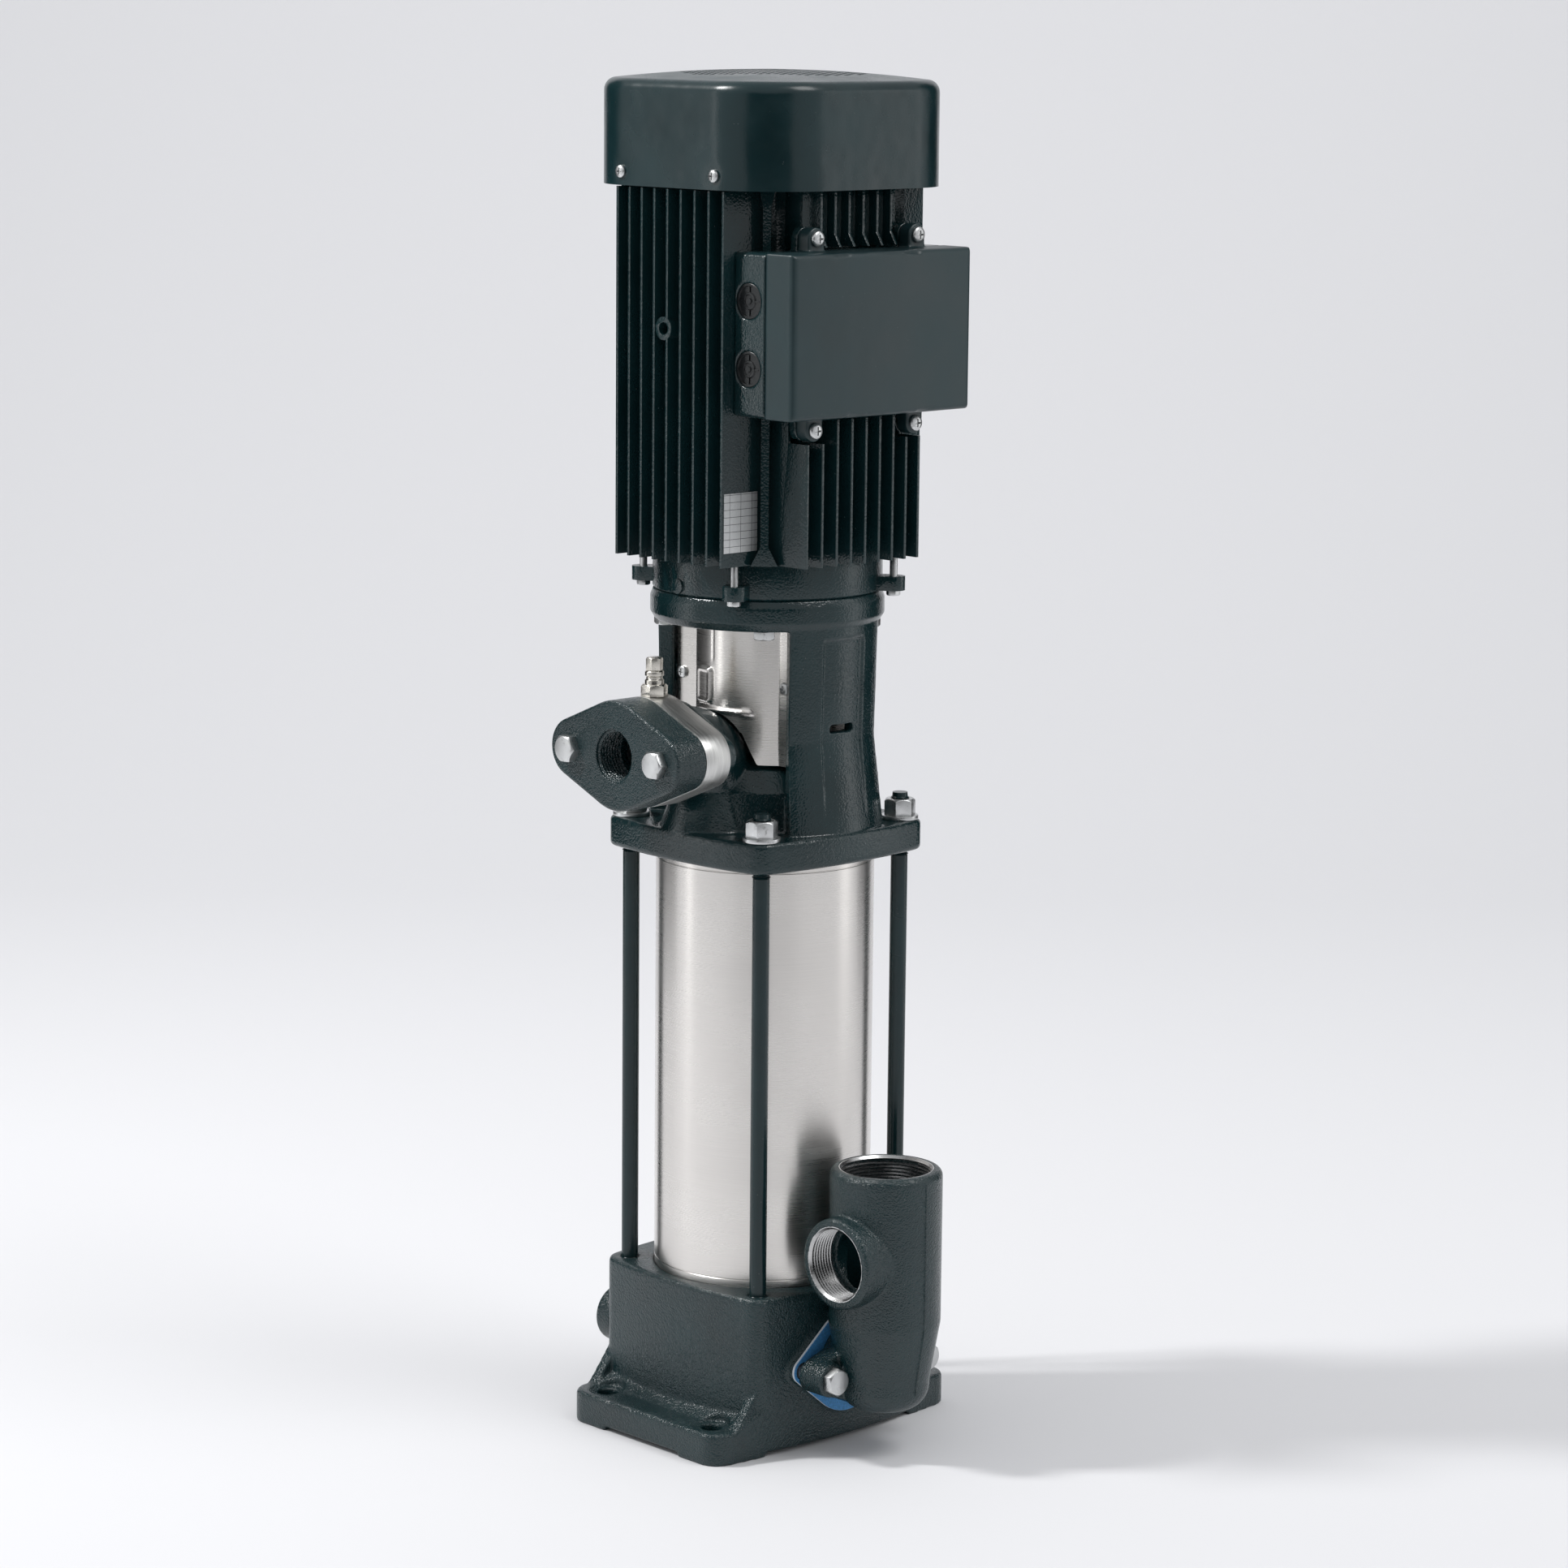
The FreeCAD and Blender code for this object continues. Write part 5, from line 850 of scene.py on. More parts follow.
def cast(node: str, slot: Slot, voxel: float, smoothing: int,
         keep: float = 0.5) -> bpy.types.Object:
    """Show a CAD node as a casting whose edges and corners all run soft.

    Args:
        node: Name of the CAD node.
        slot: Material slot.
        voxel: Grain of the new surface in millimetres.
        smoothing: Rounds of smoothing.
        keep: Share of the faces kept.

    Returns:
        The new object.
    """
    obj = holder(node_shape(node, 0.0).mesh(node + "_cast", 1.0))
    remesh = obj.modifiers.new("skin", "REMESH")
    remesh.mode = "VOXEL"
    remesh.voxel_size = voxel * 1.0 * MM
    smooth = obj.modifiers.new("soft", "SMOOTH")
    smooth.factor = 0.5
    smooth.iterations = smoothing
    thin = obj.modifiers.new("thin", "DECIMATE")
    thin.ratio = keep
    mesh = finished(obj, node + "_cast")
    mesh.shade_smooth()
    return piece(node + "_cast", mesh, slot, "pump", [node])


def subtract(base: bpy.types.Mesh, tool: bpy.types.Mesh) -> bpy.types.Mesh:
    """Cut one mesh from another.

    Args:
        base: Mesh that is cut.
        tool: Mesh that is cut away.

    Returns:
        The result.
    """
    first = holder(base)
    second = holder(tool)
    cut = first.modifiers.new("cut", "BOOLEAN")
    cut.operation = "DIFFERENCE"
    cut.solver = "EXACT"
    cut.object = second
    mesh = finished(first, base.name + "_cut")
    bpy.data.objects.remove(second)
    return mesh


def facing(direction: Point, at: Point = (0.0, 0.0, 0.0)) -> Matrix:
    """Placement that turns +Z to a direction and moves the origin to a point.

    Args:
        direction: Where +Z goes.
        at: Where the origin goes.

    Returns:
        The transformation.
    """
    turn = Vector((0.0, 0.0, 1.0)).rotation_difference(Vector(direction)).to_matrix().to_4x4()
    return Matrix.Translation(at) @ turn


# Pieces


@dataclass
class PanScrew:
    """Pan-head screw with a cross recess, modelled along +Z from its seat."""

    radius: float = 2.0
    head_height: float = 2.4
    shank: float = 6.0
    head_ratio: float = 2.0
    rim_share: float = 0.42
    fullness: float = 0.6
    seat_share: float = 0.97
    edge_share: float = 0.12
    recess: Point = (1.05, 0.24, 1.1)

    def mesh(self) -> bpy.types.Mesh:
        """Build the screw.

        Returns:
            Its mesh in millimetres.
        """
        head = self.radius * self.head_ratio
        top = self.head_height
        rise = 1.0 - self.rim_share
        dome = [(head * math.cos(a) ** self.fullness, top * (self.rim_share + rise * math.sin(a)))
                for a in (math.radians(d) for d in range(0, 90, 12))]
        shape = Shape()
        shape.lathe([(0.0, -self.shank), (self.radius, -self.shank), (self.radius, 0.0),
                     (head * self.seat_share, 0.0), (head, top * self.edge_share)] + dome + [(0.0, top)],
                    40)
        result = shape.mesh("pan", 1.0)
        length, width, depth = self.recess
        for turn in (0.0, math.pi / 2):
            bar = Shape()
            place = Matrix.Rotation(turn, 4, "Z") @ Matrix.Translation((0, 0, top)) @ Matrix.Diagonal(
                (head * length, head * width, top * depth, 1.0))
            bmesh.ops.create_cube(bar.bm, size=1.0, matrix=place)
            result = subtract(result, bar.mesh("bar", 1.0))
        return result

    def place(self, name: str, places: Sequence[Matrix], node: str) -> bpy.types.Object:
        """Put copies of the screw in place of a CAD node.

        Args:
            name: Name of the object.
            places: Seat of each screw.
            node: CAD node that is replaced.

        Returns:
            The new object.
        """
        shape = Shape()
        shape.copies(self.mesh(), places)
        return piece(name, shape.mesh(name), Slot.ZINC, "pump", [node])


@dataclass
class StaySet:
    """Stay bolts with rolled threads."""

    offset: float = 61.2
    shank: float = 5.43
    major: float = 5.95
    minor: float = 5.05
    pitch: float = 1.75
    bottom: float = 82.0
    top: float = 415.6
    base_top: float = 103.0
    head_bottom: float = 374.5
    taper: float = 0.6
    root_flat: float = 0.2
    end_margin: float = 1.0
    end_bevel: float = 0.2

    def build(self) -> None:
        """Build the four studs."""
        profile = [(0.0, self.bottom), (self.major, self.bottom), (self.major, self.base_top),
                   (self.shank, self.base_top + self.taper), (self.shank, self.head_bottom)]
        z = self.head_bottom
        while z < self.top - self.pitch - self.end_margin:
            profile += [(self.minor, z + self.root_flat), (self.major, z + self.pitch * 0.5),
                        (self.minor, z + self.pitch)]
            z += self.pitch
        profile += [(self.minor - self.end_bevel, self.top), (0.0, self.top)]
        shape = Shape()
        for sx in (1, -1):
            for sy in (1, -1):
                place = Matrix.Translation((sx * self.offset, sy * self.offset, 0.0))
                shape.lathe(profile, 32, place)
        piece("stay_studs", shape.mesh("stay_studs", MM, 25), Slot.STAY, "pump", ["stay_bolts"])


@dataclass(frozen=True)
class Port:
    """A threaded port, whose thread runs inwards from its start."""

    wall: float
    crest: float
    length: float
    inward: Point
    start: Point
    mouth: Point = (0.0, 0.0, 0.0)
    steps: int = 64
    rim_steps: int = 96


@dataclass
class PortThreads:
    """Cut pipe threads of the three ports, with machined lead-ins in the upper and side ports."""

    pitch: float = 2.309
    upper: Port = Port(29.85, 28.4, 21.8, (0, 0, -1), (114.5, 0, 185.8), (114.5, 0, 188.0))
    side: Port = Port(23.95, 22.5, 17.8, (0, 1, 0), (114.5, -42.8, 132.0), (114.5, -45.0, 132.0),
                      rim_steps=80)
    discharge: Port = Port(16.67, 15.2, 17.5, (0, 1, 0), (0, -130.6, 452.0), steps=56)
    rim_root: float = 0.5
    rim_width: float = 1.5
    rim_sink: float = 0.25
    rim_depth: float = 2.4
    rim_lip: float = 0.1
    rim_land: float = 0.5

    def rim(self, wall: float) -> list[Pair]:
        """Profile of the machined lead-in inside a port's mouth.

        Args:
            wall: Radius of the port's wall.

        Returns:
            Radius and height pairs, with z = 0 at the mouth.
        """
        outer, inner = wall + self.rim_root, wall - self.rim_width
        return [(outer, -self.rim_sink), (wall - self.rim_lip, -self.rim_sink),
                (inner, self.rim_land - self.rim_depth), (inner, -self.rim_depth),
                (outer, -self.rim_depth)]

    def wind(self, shape: Shape, port: Port) -> None:
        """Add one port's thread to a shape."""
        shape.thread(port.wall, port.crest, self.pitch, port.length, facing(port.inward, port.start),
                     port.steps)

    def build(self) -> None:
        """Build the threads and the lead-ins."""
        threads, rims = Shape(), Shape()
        for port in (self.upper, self.side):
            self.wind(threads, port)
            outward = tuple(-share for share in port.inward)
            rims.lathe(self.rim(port.wall), port.rim_steps, facing(outward, port.mouth), close=True)
        piece("elbow_threads", threads.mesh("elbow_threads", MM, 20), Slot.SHAFT)
        piece("port_chamfers", rims.mesh("port_chamfers", MM, 25), Slot.SHAFT)
        thread = Shape()
        self.wind(thread, self.discharge)
        piece("discharge_thread", thread.mesh("discharge_thread", MM, 20), Slot.TEXTURED)


@dataclass
class ElbowSeam:
    """Low ridge where the halves of the elbow's mould met."""

    axis_x: float = 114.5
    half_width: float = 0.75
    half_crest: float = 0.2
    root: float = 0.5
    height: float = 0.45
    outer_line: tuple[Pair, ...] = ((35.2, 184.8), (36.0, 182.5), (36.0, 88.0), (29.5, 50.0),
                                    (29.1, 44.0), (27.0, 38.5), (23.0, 34.0), (17.0, 31.2))
    inner_line: tuple[Pair, ...] = ((36.0, 178.0), (36.0, 112.0))

    def build(self) -> None:
        """Build the ridge on both sides of the elbow."""
        shape = Shape()
        for side, line in ((1, self.outer_line), (-1, self.inner_line)):
            rings = []
            for radius, z in line:
                x = self.axis_x + side * radius
                low, high = x - side * self.root, x + side * self.height
                rings.append([(low, -self.half_width, z), (high, -self.half_crest, z),
                              (high, self.half_crest, z), (low, self.half_width, z)])
            rows = shape.loft(rings)
            for row in (rows[0], rows[-1]):
                shape.bm.faces.new(row)
        piece("elbow_seam", shape.mesh("elbow_seam", MM, 25), Slot.TEXTURED)


@dataclass
class Sleeve:
    """Outer sleeve with a rolled line above the base and below the head."""

    outer: float = 70.5
    inner: float = 68.5
    bottom: float = 98.0
    top: float = 384.5
    edge: float = 0.3
    line_rise: float = 10.5
    line_half: float = 0.5
    line_floor: float = 0.15
    line_depth: float = 0.35

    def build(self) -> None:
        """Build the sleeve."""
        bevelled, sunk = self.outer - self.edge, self.outer - self.line_depth
        profile = [(self.inner, self.bottom), (bevelled, self.bottom),
                   (self.outer, self.bottom + self.edge)]
        for z in (self.bottom + self.line_rise, self.top - self.line_rise):
            profile += [(self.outer, z - self.line_half), (sunk, z - self.line_floor),
                        (sunk, z + self.line_floor), (self.outer, z + self.line_half)]
        profile += [(self.outer, self.top - self.edge), (bevelled, self.top), (self.inner, self.top)]
        shape = Shape()
        shape.lathe(profile, 192, close=True)
        piece("sleeve_skin", shape.mesh("sleeve_skin", MM, 30), Slot.STAINLESS, "pump", ["outer_sleeve"])


@dataclass
class EntryPlugs:
    """Moulded plugs that close the cable entries."""

    x: float = 62.0
    face_y: float = 76.7
    heights: Pair = (694.45, 736.05)
    radius: float = 11.05
    thickness: float = 1.0
    edge: float = 0.3
    rim_bevel: float = 0.4
    rim_width: float = 1.6
    rim_depth: float = 0.85
    relief: tuple[Pair, ...] = ((5.6, -0.9), (5.0, -0.1), (4.1, 0.0), (3.7, -0.75), (2.0, -0.8),
                                (1.6, 0.0), (0.0, 0.0))
    rib_place: Point = (7.1, 0.0, -0.42)
    rib_size: Point = (3.4, 0.9, 0.5)

    def build(self) -> None:
        """Build the four plugs."""
        inside = self.radius - self.rim_width
        profile = [(0.0, -self.thickness), (self.radius, -self.thickness), (self.radius, -self.edge),
                   (self.radius - self.rim_bevel, 0.0), (inside, 0.0),
                   (inside - self.rim_bevel, -self.rim_depth)] + list(self.relief)
        shape = Shape()
        for side in (1, -1):
            for z in self.heights:
                place = facing((0, side, 0), (self.x, side * self.face_y, z))
                shape.lathe(profile, 48, place)
                for turn in range(4):
                    rib = place @ Matrix.Rotation(math.pi / 2 * turn, 4, "Z") @ Matrix.Translation(
                        self.rib_place) @ Matrix.Diagonal((*self.rib_size, 1.0))
                    bmesh.ops.create_cube(shape.bm, size=1.0, matrix=rib)
        piece("plug_set", shape.mesh("plug_set", MM, 35), Slot.PLASTIC, "pump", ["entry_plugs"])


@dataclass(frozen=True)
class Pressing:
    """Rounded field that stands out of the guard sheet, or in for a negative height."""

    height: float
    half_x: float
    half_z: float
    corner: float
    slope: float

    def at(self, x: float, z: float) -> float:
        """Height that the field adds over a point.

        Args:
            x: Place across the guard, from the field's middle.
            z: Height on the guard, from the field's middle.

        Returns:
            The height.
        """
        dx = max(abs(x) - self.half_x + self.corner, 0.0)
        dz = max(abs(z) - self.half_z + self.corner, 0.0)
        return self.height * soft_step(math.hypot(dx, dz) - self.corner, self.slope)


def soft_step(distance: float, width: float) -> float:
    """Fall from 1 to 0 over a width about distance 0, with rounded ends.

    Args:
        distance: How far outside the edge a point lies.
        width: Width of the slope.

    Returns:
        The share of the full height.
    """
    t = min(max(0.5 - distance / width, 0.0), 1.0)
    return t * t * (3 - 2 * t)


def circle_centre(a: Vector, b: Vector, c: Vector) -> Vector:
    """Find the centre of the circle through three points in a plane.

    Args:
        a: First point.
        b: Second point.
        c: Third point.

    Returns:
        The centre.
    """
    twice_area = 2 * (a.x * (b.y - c.y) + b.x * (c.y - a.y) + c.x * (a.y - b.y))
    x = a.length_squared * (b.y - c.y) + b.length_squared * (c.y - a.y) + c.length_squared * (a.y - b.y)
    y = a.length_squared * (c.x - b.x) + b.length_squared * (a.x - c.x) + c.length_squared * (b.x - a.x)
    return Vector((x / twice_area, y / twice_area))


@dataclass
class CouplingGuard:
    """Bent guard sheet with a pressed box and a pressed bead."""

    half: float = 53.0
    end_y: float = -28.0
    left_strip: float = 22.0
    step_run: float = 9.0
    step_depth: float = 12.0
    crown_depth: float = 17.0
    right_strip: float = 11.5
    bottom: float = 440.0
    top: float = 527.2
    thickness: float = 1.0
    screw_x: float = 47.5
    screw_z: float = 490.0
    notch_rise: float = 20.0
    notch_x: float = 22.0
    notch_run: float = 9.0
    neck_radius: float = 28.0
    bend_radius: float = 30.0
    bend_z: float = 422.0
    field: Pressing = Pressing(2.3, 7.3, 11.4, 2.2, 1.8)
    field_floor: Pressing = Pressing(-0.6, 5.0, 9.0, 1.6, 1.2)
    field_x: float = -8.5
    field_z: float = 488.0
    bead_ends: Pair = (-13.0, 27.0)
    bead_z: float = 473.0
    bead_height: float = 1.4
    bead_radius: float = 1.2
    bead_slope: float = 2.0
    crease_x: float = -0.6
    crease_top: float = 504.0
    crease_depth: float = 0.55
    crease_half: float = 0.5
    crease_slope: float = 1.4
    crease_fade: float = 6.0
    rows: int = 80
    spacing: float = 0.9
    bend_passes: int = 2

    def line(self) -> list[Pair]:
        """Trace the sheet's inner line in plan with rounded bends.

        Returns:
            Points about a millimetre apart.
        """
        left = -self.half
        bend = left + self.left_strip
        step = bend + self.step_run
        right_bend = self.half - self.right_strip
        y = self.end_y
        chord = right_bend - step
        a, b = Vector((step, y - self.step_depth)), Vector((right_bend, y))
        centre = circle_centre(a, b, Vector(((step + right_bend) / 2, y - self.crown_depth)))
        ux, uy = centre
        radius = (a - centre).length
        start = math.atan2(a.y - uy, a.x - ux)
        end = math.atan2(b.y - uy, b.x - ux)
        if start > 0:
            start -= 2 * math.pi
        if end > 0:
            end -= 2 * math.pi
        count = int(chord)
        arc = [(ux + radius * math.cos(start + (end - start) * i / count),
                uy + radius * math.sin(start + (end - start) * i / count)) for i in range(count + 1)]
        points = [(left, y), (bend, y)] + arc + [(self.half, y)]
        dense = []
        for p, q in zip(points, points[1:]):
            steps = max(1, round(math.dist(p, q) / self.spacing))
            dense += [(p[0] + (q[0] - p[0]) * i / steps, p[1] + (q[1] - p[1]) * i / steps)
                      for i in range(steps)]
        dense.append(points[-1])
        for _ in range(self.bend_passes):
            dense = [dense[0]] + [((a[0] + 2 * b[0] + c[0]) / 4, (a[1] + 2 * b[1] + c[1]) / 4)
                                  for a, b, c in zip(dense, dense[1:], dense[2:])] + [dense[-1]]
        return dense

    def low_edge(self, x: float, front: bool) -> float:
        """Height of the sheet's lower edge, which clears the neck in front.

        Args:
            x: Place across the guard.
            front: Whether this is the guard over the neck.

        Returns:
            The height.
        """
        if not front:
            return self.bottom
        across = min(max((x - self.notch_x) / self.notch_run, 0.0), 1.0)
        low = self.bottom + self.notch_rise * (1.0 - across)
        if abs(x) < self.neck_radius:
            reach = self.bend_radius + math.sqrt(self.neck_radius ** 2 - x * x)
            low = max(low, self.bend_z + math.sqrt(max(reach ** 2 - self.bend_radius ** 2, 0.0)))
        return low

    def pressed(self, x: float, z: float) -> float:
        """Height of the pressed field, the bead and the crease over the sheet.

        Args:
            x: Place across the guard.
            z: Height on the guard.

        Returns:
            How far the sheet stands out.
        """
        dx, dz = x - self.field_x, z - self.field_z
        field = self.field.at(dx, dz) + self.field_floor.at(dx, dz)
        start, end = self.bead_ends
        away = math.hypot(x - min(max(x, start), end), z - self.bead_z)
        bead = self.bead_height * soft_step(away - self.bead_radius, self.bead_slope)
        fold = soft_step(abs(x - self.crease_x) - self.crease_half, self.crease_slope)
        fade = soft_step(self.crease_top - z, self.crease_fade)
        return max(field, bead) - self.crease_depth * fold * fade

    def build(self, front: bool) -> None:
        """Build one guard.

        Args:
            front: Whether it is the guard on the discharge side.
        """
        line = self.line()
        normals = []
        for i in range(len(line)):
            a, b = line[max(i - 1, 0)], line[min(i + 1, len(line) - 1)]
            tangent = Vector((b[0] - a[0], b[1] - a[1])).normalized()
            normals.append(Vector((tangent.y, -tangent.x)))
        layers = []
        for offset in (0.0, self.thickness):
            rings = []
            for k in range(self.rows + 1):
                ring = []
                for (x, y), n in zip(line, normals):
                    low = self.low_edge(x, front)
                    z = low + (self.top - low) * k / self.rows
                    out = offset + (self.pressed(x, z) if front else 0.0)
                    ring.append((x + n.x * out, y + n.y * out, z))
                rings.append(ring)
            layers.append(rings)
        shape = Shape()
        inner = shape.loft(layers[0], closed=False)
        outer = shape.loft(layers[1], closed=False)
        ends = [(inner[k], outer[k]) for k in (0, -1)]
        ends += [([row[k] for row in inner], [row[k] for row in outer]) for k in (0, -1)]
        for a, b in ends:
            shape.join(a, b, closed=False)
        name = "guard_front" if front else "guard_back"
        if not front:
            bmesh.ops.rotate(shape.bm, verts=shape.bm.verts, cent=(0, 0, 0),
                             matrix=Matrix.Rotation(math.pi, 3, "Z"))
        mesh = shape.mesh(name, MM, 40)
        piece(name, mesh, Slot.STAINLESS, "pump", ["coupling_" + name])


@dataclass
class FanCover:
    """Pressed fan cover with soft dimples at the screws and a perforated crown."""

    half: float = 88.85
    corner: float = 49.0
    bottom: float = 802.8
    shoulder: float = 869.0
    top: float = 874.5
    rounding: float = 8.0
    wall: float = 1.5
    grille: float = 63.0
    hole: float = 1.8
    hole_pitch: float = 5.2
    screw_offset: float = 42.5
    screw_z: float = 811.3
    dimple: float = 0.9
    dimple_spread: float = 6.0
    count: int = 224
    side_rings: int = 22
    bend_rings: int = 8
    crown_rings: int = 12
    hole_sides: int = 12
    hole_rows: int = 14

    def reach(self, angle: float, half: float, corner: float) -> float:
        """Distance from the axis to the rounded square outline.

        Args:
            angle: Direction in radians.
            half: Half of the square's side.
            corner: Radius of its corners.

        Returns:
            The distance.
        """
        c, s = abs(math.cos(angle)), abs(math.sin(angle))
        if s > c:
            c, s = s, c
        edge = half - corner
        if half * s / c <= edge:
            return half / c
        along = edge * (c + s)
        return along + math.sqrt(max(corner ** 2 - (2 * edge ** 2 - along ** 2), 0.0))

    def ring(self, inset: float, z: float, share: float = 0.0) -> list[Point]:
        """One ring of the cover, between the square outline and the grille's circle.

        Args:
            inset: Distance inside the outer face.
            z: Height.
            share: 0 for the square outline, 1 for the circle.

        Returns:
            The ring's points.
        """
        points = []
        for i in range(self.count):
            angle = 2 * math.pi * (i + 0.5) / self.count
            square = self.reach(angle, self.half - inset, self.corner - inset)
            r = square * (1 - share) + self.grille * share
            x, y = r * math.cos(angle), r * math.sin(angle)
            if not share and z:
                across = min(abs(x), abs(y))
                near = math.hypot(across - self.screw_offset, z - self.screw_z)
                deep = self.dimple * math.exp(-(near / self.dimple_spread) ** 2)
                if abs(y) > abs(x):
                    y -= math.copysign(deep, y)
            points.append((x, y, z))
        return points

    def crown(self, x: float, y: float, wall: float) -> float:
        """Height of the domed crown over a point.

        Args:
            x: Place of the point.
            y: Place of the point.
            wall: Distance below the outer face.

        Returns:
            The height.
        """
        edge = self.reach(math.atan2(y, x), self.half - self.rounding, self.corner - self.rounding)
        return self.top - wall - (self.top - self.shoulder) * (math.hypot(x, y) / edge) ** 2

    def side(self, wall: float) -> list[list[Point]]:
        """Rings of the outer or inner face, from the lower rim to the grille.

        Args:
            wall: Distance inside the outer face.

        Returns:
            The rings.
        """
        rings = []
        height = self.shoulder - self.rounding - self.bottom
        for k in range(self.side_rings + 1):
            rings.append(self.ring(wall, self.bottom + height * k / self.side_rings))
        radius = self.rounding - wall
        for k in range(1, self.bend_rings + 1):
            turn = math.pi / 2 * k / self.bend_rings
            rings.append(self.ring(wall + radius * (1 - math.cos(turn)),
                                   self.shoulder - self.rounding + radius * math.sin(turn)))
        for k in range(1, self.crown_rings + 1):
            rings.append([(x, y, self.crown(x, y, wall))
                          for x, y, _ in self.ring(wall + radius, 0.0, k / self.crown_rings)])
        return rings

    def build(self) -> None:
        """Build the cover."""
        shape = Shape()
        outer = shape.loft(self.side(0.0))
        inner = shape.loft(self.side(self.wall))
        shape.join(outer[0], inner[0])
        self.perforate(shape, outer[-1], inner[-1])
        piece("fan_cover_skin", shape.mesh("fan_cover_skin", MM, 38), Slot.SHEET, "pump", ["fan_cover"])

    def perforate(self, shape: Shape, top_rim: list, low_rim: list) -> None:
        """Fill the crown with a staggered pattern of small holes.

        Args:
            shape: The cover's shape.
            top_rim: Rim vertices on the outer face.
            low_rim: Rim vertices on the inner face.
        """
        bm = shape.bm
        row_step = self.hole_pitch * math.sqrt(0.75)
        limit = self.grille - self.hole_pitch * 0.75
        centres = []
        for row in range(-self.hole_rows, self.hole_rows + 1):
            for column in range(-self.hole_rows, self.hole_rows + 1):
                x = (column + (row % 2) * 0.5) * self.hole_pitch
                if math.hypot(x, row * row_step) < limit:
                    centres.append((x, row * row_step))
        cell = self.hole_pitch / math.sqrt(3)
        grid_per_mm = 50
        walls = []
        for wall, rim in ((0.0, top_rim), (self.wall, low_rim)):
            rounds = []
            cell_edges = []
            verts: dict[tuple[int, int], bmesh.types.BMVert] = {}
            for x, y in centres:
                outline, hole = [], []
                for k in range(self.hole_sides):
                    turn = math.radians(360 / self.hole_sides * k)
                    far = cell if k % 2 else cell * math.cos(math.pi / 6)
                    px, py = x + far * math.cos(turn), y + far * math.sin(turn)
                    key = (round(px * grid_per_mm), round(py * grid_per_mm))
                    if key not in verts:
                        verts[key] = bm.verts.new((px, py, self.crown(px, py, wall)))
                    outline.append(verts[key])
                for k in range(self.hole_sides):
                    turn = math.radians(360 / self.hole_sides * k)
                    px, py = x + self.hole * math.cos(turn), y + self.hole * math.sin(turn)
                    hole.append(bm.verts.new((px, py, self.crown(px, py, wall))))
                shape.join(outline, hole)
                rounds.append(hole)
            for vert in verts.values():
                cell_edges += [e for e in vert.link_edges if len(e.link_faces) == 1]
            rim_edges = [bm.edges.get((a, b)) for a, b in zip(rim, rim[1:] + rim[:1])]
            bmesh.ops.triangle_fill(bm, use_beauty=True, edges=list(set(cell_edges)) + rim_edges)
            walls.append(rounds)
        for high, low in zip(*walls):
            shape.join(high, low)


@dataclass
class Motor:
    """Finned housing, shields, terminal box and plate."""

    lid_face: float = 87.0
    lid_screw_y: float = 43.5
    lid_screw_z: Pair = (774.0, 656.5)
    cover_face: float = 88.0

    def build(self) -> None:
        """Build the motor's outer pieces and its cover."""
        soften("motor_housing", Slot.GLOSS, 0.35)
        soften("drive_end_shield", Slot.GLOSS, 0.8)
        soften("rear_end_shield", Slot.GLOSS, 0.6)
        cast("terminal_box", Slot.GLOSS, 0.8, 4, 0.45)
        cast("terminal_box_lid", Slot.LID, 0.8, 9, 0.4)
        soften("nameplate", Slot.PLATE, 0.12)
        EntryPlugs().build()
        soften("tie_bolts", Slot.ZINC, 0.15)
        seats = [facing((1, 0, 0), (self.lid_face, sy * self.lid_screw_y, z))
                 for sy in (1, -1) for z in self.lid_screw_z]
        PanScrew(2.5, 3.0, 16.0).place("lid_screw_set", seats, "lid_screws")
        cover = FanCover()
        seats = [facing((0, side, 0), (sx * cover.screw_offset, side * self.cover_face, cover.screw_z))
                 for side in (1, -1) for sx in (1, -1)]
        PanScrew(2.0, 2.6, 8.0).place("cover_screw_set", seats, "cover_screws")
        cover.build()


@dataclass
class PumpBody:
    """Castings, flanges, sleeve and fasteners of the wet end."""

    def build(self) -> None:
        """Build the wet end's outer pieces."""
        cast("base_casting", Slot.TEXTURED, 1.15, 5)
        cast("suction_elbow", Slot.TEXTURED, 0.9, 5)
        cast("head_stool", Slot.GLOSS, 0.85, 3, 0.31)
        cast("counter_flange", Slot.TEXTURED, 0.7, 4)
        cast("blind_flange", Slot.TEXTURED, 0.8, 4)
        soften("vent_flange", Slot.BARE, 0.4)
        soften("suction_gasket", Slot.GASKET, 0.2, 1)
        soften("blind_gasket", Slot.GASKET, 0.2, 1)
        for node in ("elbow_bolts", "blind_flange_bolts", "counter_flange_bolts", "stay_nuts",
                     "stay_washers", "motor_flange_bolts"):
            soften(node, Slot.ZINC, 0.25)
        soften("vent_body", Slot.NICKEL, 0.2)
        soften("vent_cap", Slot.NICKEL, 0.25, body="vent_knob")
        StaySet().build()
        Sleeve().build()
        ElbowSeam().build()
        PortThreads().build()
        guard = CouplingGuard()
        guard.build(True)
        guard.build(False)
        face = guard.thickness - guard.end_y
        seats = [facing((0, sy, 0), (sx * guard.screw_x, sy * face, guard.screw_z))
                 for sx in (1, -1) for sy in (1, -1)]
        PanScrew().place("guard_screw_set", seats, "guard_screws")


@dataclass(frozen=True)
class Lamp:
    """A softbox; bearings run from the camera's side round to the left, seen from the camera."""

    name: str
    bearing: float
    distance: float
    height: float
    size: Pair
    power: float
    aim: Pair = (0.0, 0.45)


@dataclass(frozen=True)
class Card:
    """A black card that only reflections see."""

    name: str
    start: float
    end: float
    radius: float
    low: float
    high: float


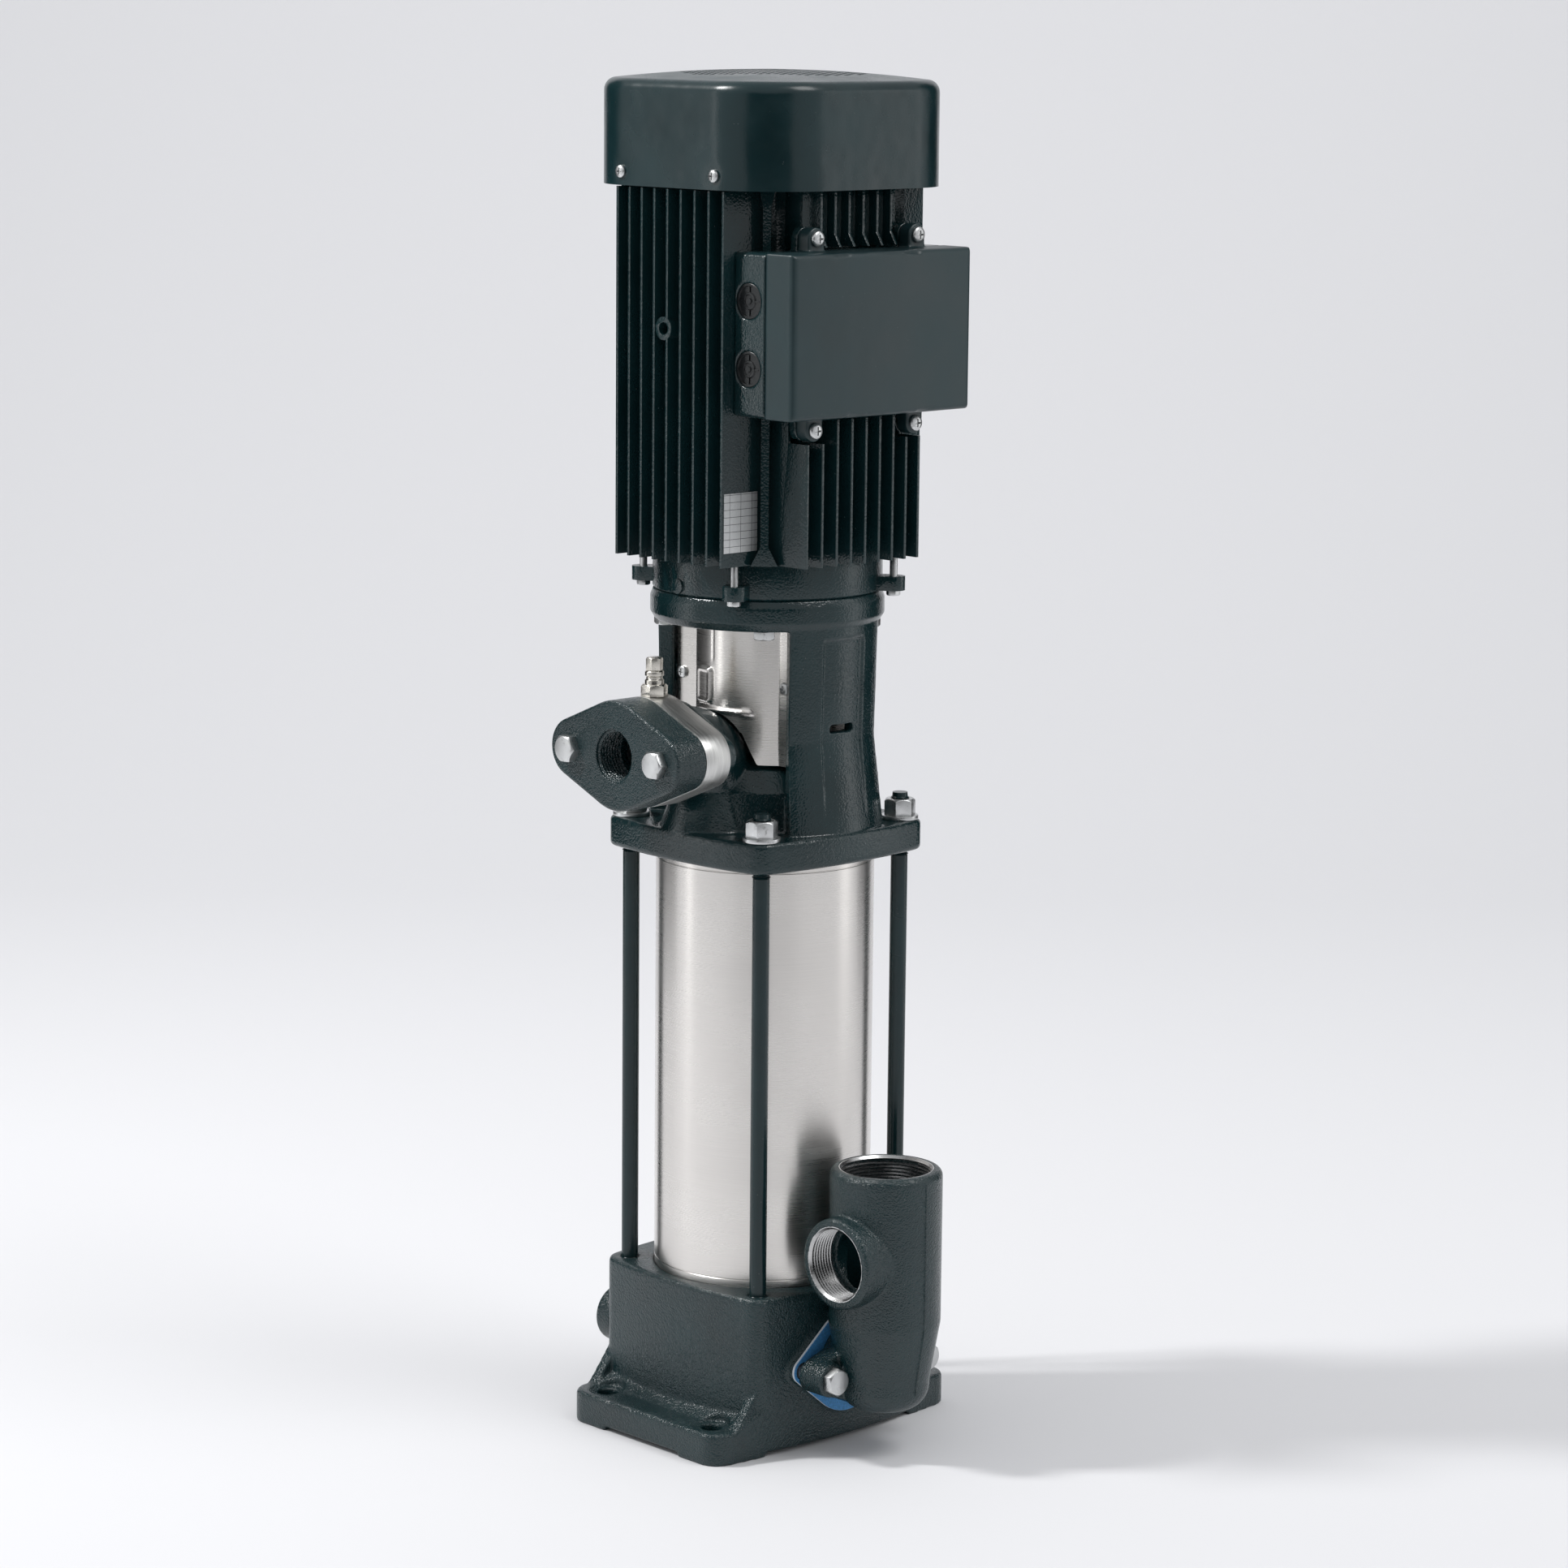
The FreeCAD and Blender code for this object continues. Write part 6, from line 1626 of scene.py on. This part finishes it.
@dataclass
class Studio:
    """Pale curved backdrop, soft lamps, black cards and the photo's camera, in metres."""

    location: Point = (2.08626, -1.97745, 0.92834)
    axes: tuple[Point, Point, Point] = ((0.68965, 0.72409, 0.00947), (-0.13267, 0.11347, 0.98464),
                                        (0.71189, -0.68031, 0.17432))
    lens: float = 104.03
    sensor: float = 36.0
    sky: Colour = (0.80, 0.81, 0.83)
    sky_strength: float = 0.69
    lamps: tuple[Lamp, ...] = (
        Lamp("key", 86.0, 1.5, 2.1, (0.2, 0.42), 33.0),
        Lamp("left_box", 84.5, 2.0, 0.6, (0.15, 1.7), 2.0),
        Lamp("right_box", -92.0, 2.0, 0.7, (0.5, 1.9), 2.9),
        Lamp("fill", -65.0, 1.7, 2.7, (1.2, 1.2), 25.0),
        Lamp("wash", 180.0, 0.8, 3.4, (3.0, 0.8), 26.0, (3.3, 2.5)))
    cards: tuple[Card, ...] = (
        Card("flag_left", 104.0, 146.0, 1.6, 0.01, 2.0),
        Card("flag_right", -146.0, -112.0, 1.6, 0.01, 2.0),
        Card("flag_back", -32.0, 32.0, 3.4, 0.3, 1.8))
    card_colour: Colour = (0.004, 0.004, 0.004)
    paper_colour: Colour = (0.77, 0.77, 0.785)
    paper_front: float = -2.5
    paper_reach: float = 1.7
    paper_bend: float = 1.6
    paper_top: float = 6.0
    paper_half: float = 2.6
    card_facets: int = 8
    bend_facets: int = 16
    sight: float = 60.0

    def build(self) -> None:
        """Build the backdrop, lamps, cards and camera."""
        scene = bpy.context.scene
        scene.view_settings.view_transform = "Standard"
        world = bpy.data.worlds.new("studio")
        scene.world = world
        world.use_nodes = True
        sky = world.node_tree.nodes["Background"].inputs
        sky["Color"].default_value = (*self.sky, 1.0)
        sky["Strength"].default_value = self.sky_strength
        self.backdrop()
        for lamp in self.lamps:
            self.hang(lamp)
        for card in self.cards:
            self.stand(card)
        camera = bpy.data.objects.new("photo_camera", bpy.data.cameras.new("photo_camera"))
        scene.collection.objects.link(camera)
        camera.matrix_world = Matrix.Translation(self.location) @ Matrix(self.axes).transposed().to_4x4()
        camera.data.lens = self.lens
        camera.data.sensor_width = self.sensor
        camera.data.clip_end = self.sight
        scene.camera = camera

    def bearing(self, degrees: float = 0.0) -> float:
        """Turn a bearing from the camera's side into an angle about Z in radians."""
        return math.atan2(self.location[1], self.location[0]) - math.radians(degrees)

    def hang(self, lamp: Lamp) -> None:
        """Add one softbox that looks at the object or at the backdrop.

        Args:
            lamp: The softbox; its aim is how far behind the axis and how high it looks.
        """
        data = bpy.data.lights.new(lamp.name, "AREA")
        data.shape = "RECTANGLE"
        data.size, data.size_y = lamp.size
        data.energy = lamp.power
        obj = bpy.data.objects.new(lamp.name, data)
        bpy.context.scene.collection.objects.link(obj)
        turn, away = self.bearing(lamp.bearing), self.bearing()
        behind, high = lamp.aim
        obj.location = (lamp.distance * math.cos(turn), lamp.distance * math.sin(turn), lamp.height)
        look = Vector((-behind * math.cos(away), -behind * math.sin(away), high)) - obj.location
        obj.rotation_euler = look.to_track_quat("-Z", "Y").to_euler()

    def stand(self, card: Card) -> None:
        """Stand a black card round the object, whose reflection darkens the edges.

        Args:
            card: The card.
        """
        foot = []
        for k in range(self.card_facets + 1):
            turn = self.bearing(card.start + (card.end - card.start) * k / self.card_facets)
            foot.append((card.radius * math.cos(turn), card.radius * math.sin(turn)))
        shape = Shape()
        shape.loft([[(x, y, z) for x, y in foot] for z in (card.low, card.high)], closed=False)
        obj = self.staged(card.name, shape.mesh(card.name, 1.0, 60), self.card_colour)
        obj.visible_camera = obj.visible_diffuse = obj.visible_shadow = False

    def staged(self, name: str, mesh: bpy.types.Mesh, colour: Colour) -> bpy.types.Object:
        """Put a plain mesh of the studio in the scene.

        Args:
            name: Name of the object.
            mesh: Its mesh.
            colour: Its colour.

        Returns:
            The object.
        """
        obj = bpy.data.objects.new(name, mesh)
        bpy.context.scene.collection.objects.link(obj)
        material = bpy.data.materials.new(name)
        material.use_nodes = True
        shader = material.node_tree.nodes["Principled BSDF"]
        shader.inputs["Base Color"].default_value = (*colour, 1.0)
        shader.inputs["Roughness"].default_value = 0.9
        shader.inputs["Specular IOR Level"].default_value = 0.1
        mesh.materials.append(material)
        return obj

    def backdrop(self) -> None:
        """Add the pale floor that curves up behind the object."""
        turn = self.bearing()
        reach, bend = self.paper_reach, self.paper_bend
        profile = [(self.paper_front, 0.0), (reach, 0.0)]
        profile += [(reach + bend * math.sin(a), bend - bend * math.cos(a))
                    for a in (math.pi / 2 * k / self.bend_facets for k in range(1, self.bend_facets + 1))]
        profile.append((reach + bend, self.paper_top))
        rows = []
        for side in (-self.paper_half, self.paper_half):
            rows.append([(-d * math.cos(turn) - side * math.sin(turn),
                          -d * math.sin(turn) + side * math.cos(turn), z) for d, z in profile])
        shape = Shape()
        shape.loft(rows, closed=False)
        self.staged("backdrop", shape.mesh("backdrop", 1.0, 60), self.paper_colour)


@dataclass
class Pump:
    """The whole object with its finishes and studio."""

    def build(self) -> None:
        """Build every piece."""
        for slot, finish in FINISHES.items():
            MATERIALS[slot] = finish.build(slot.value)
        for part in frame["record"]["subparts"]:
            node = frame["nodes"][part["node"]]
            node.data.materials.clear()
            node.data.materials.append(MATERIALS[Slot(part["material_slot"])])
        PumpBody().build()
        Motor().build()
        Studio().build()


def main() -> None:
    """Build the scene."""
    logging.basicConfig(level=logging.INFO, format="%(name)s: %(message)s")
    Pump().build()


if __name__ == "__main__":
    main()
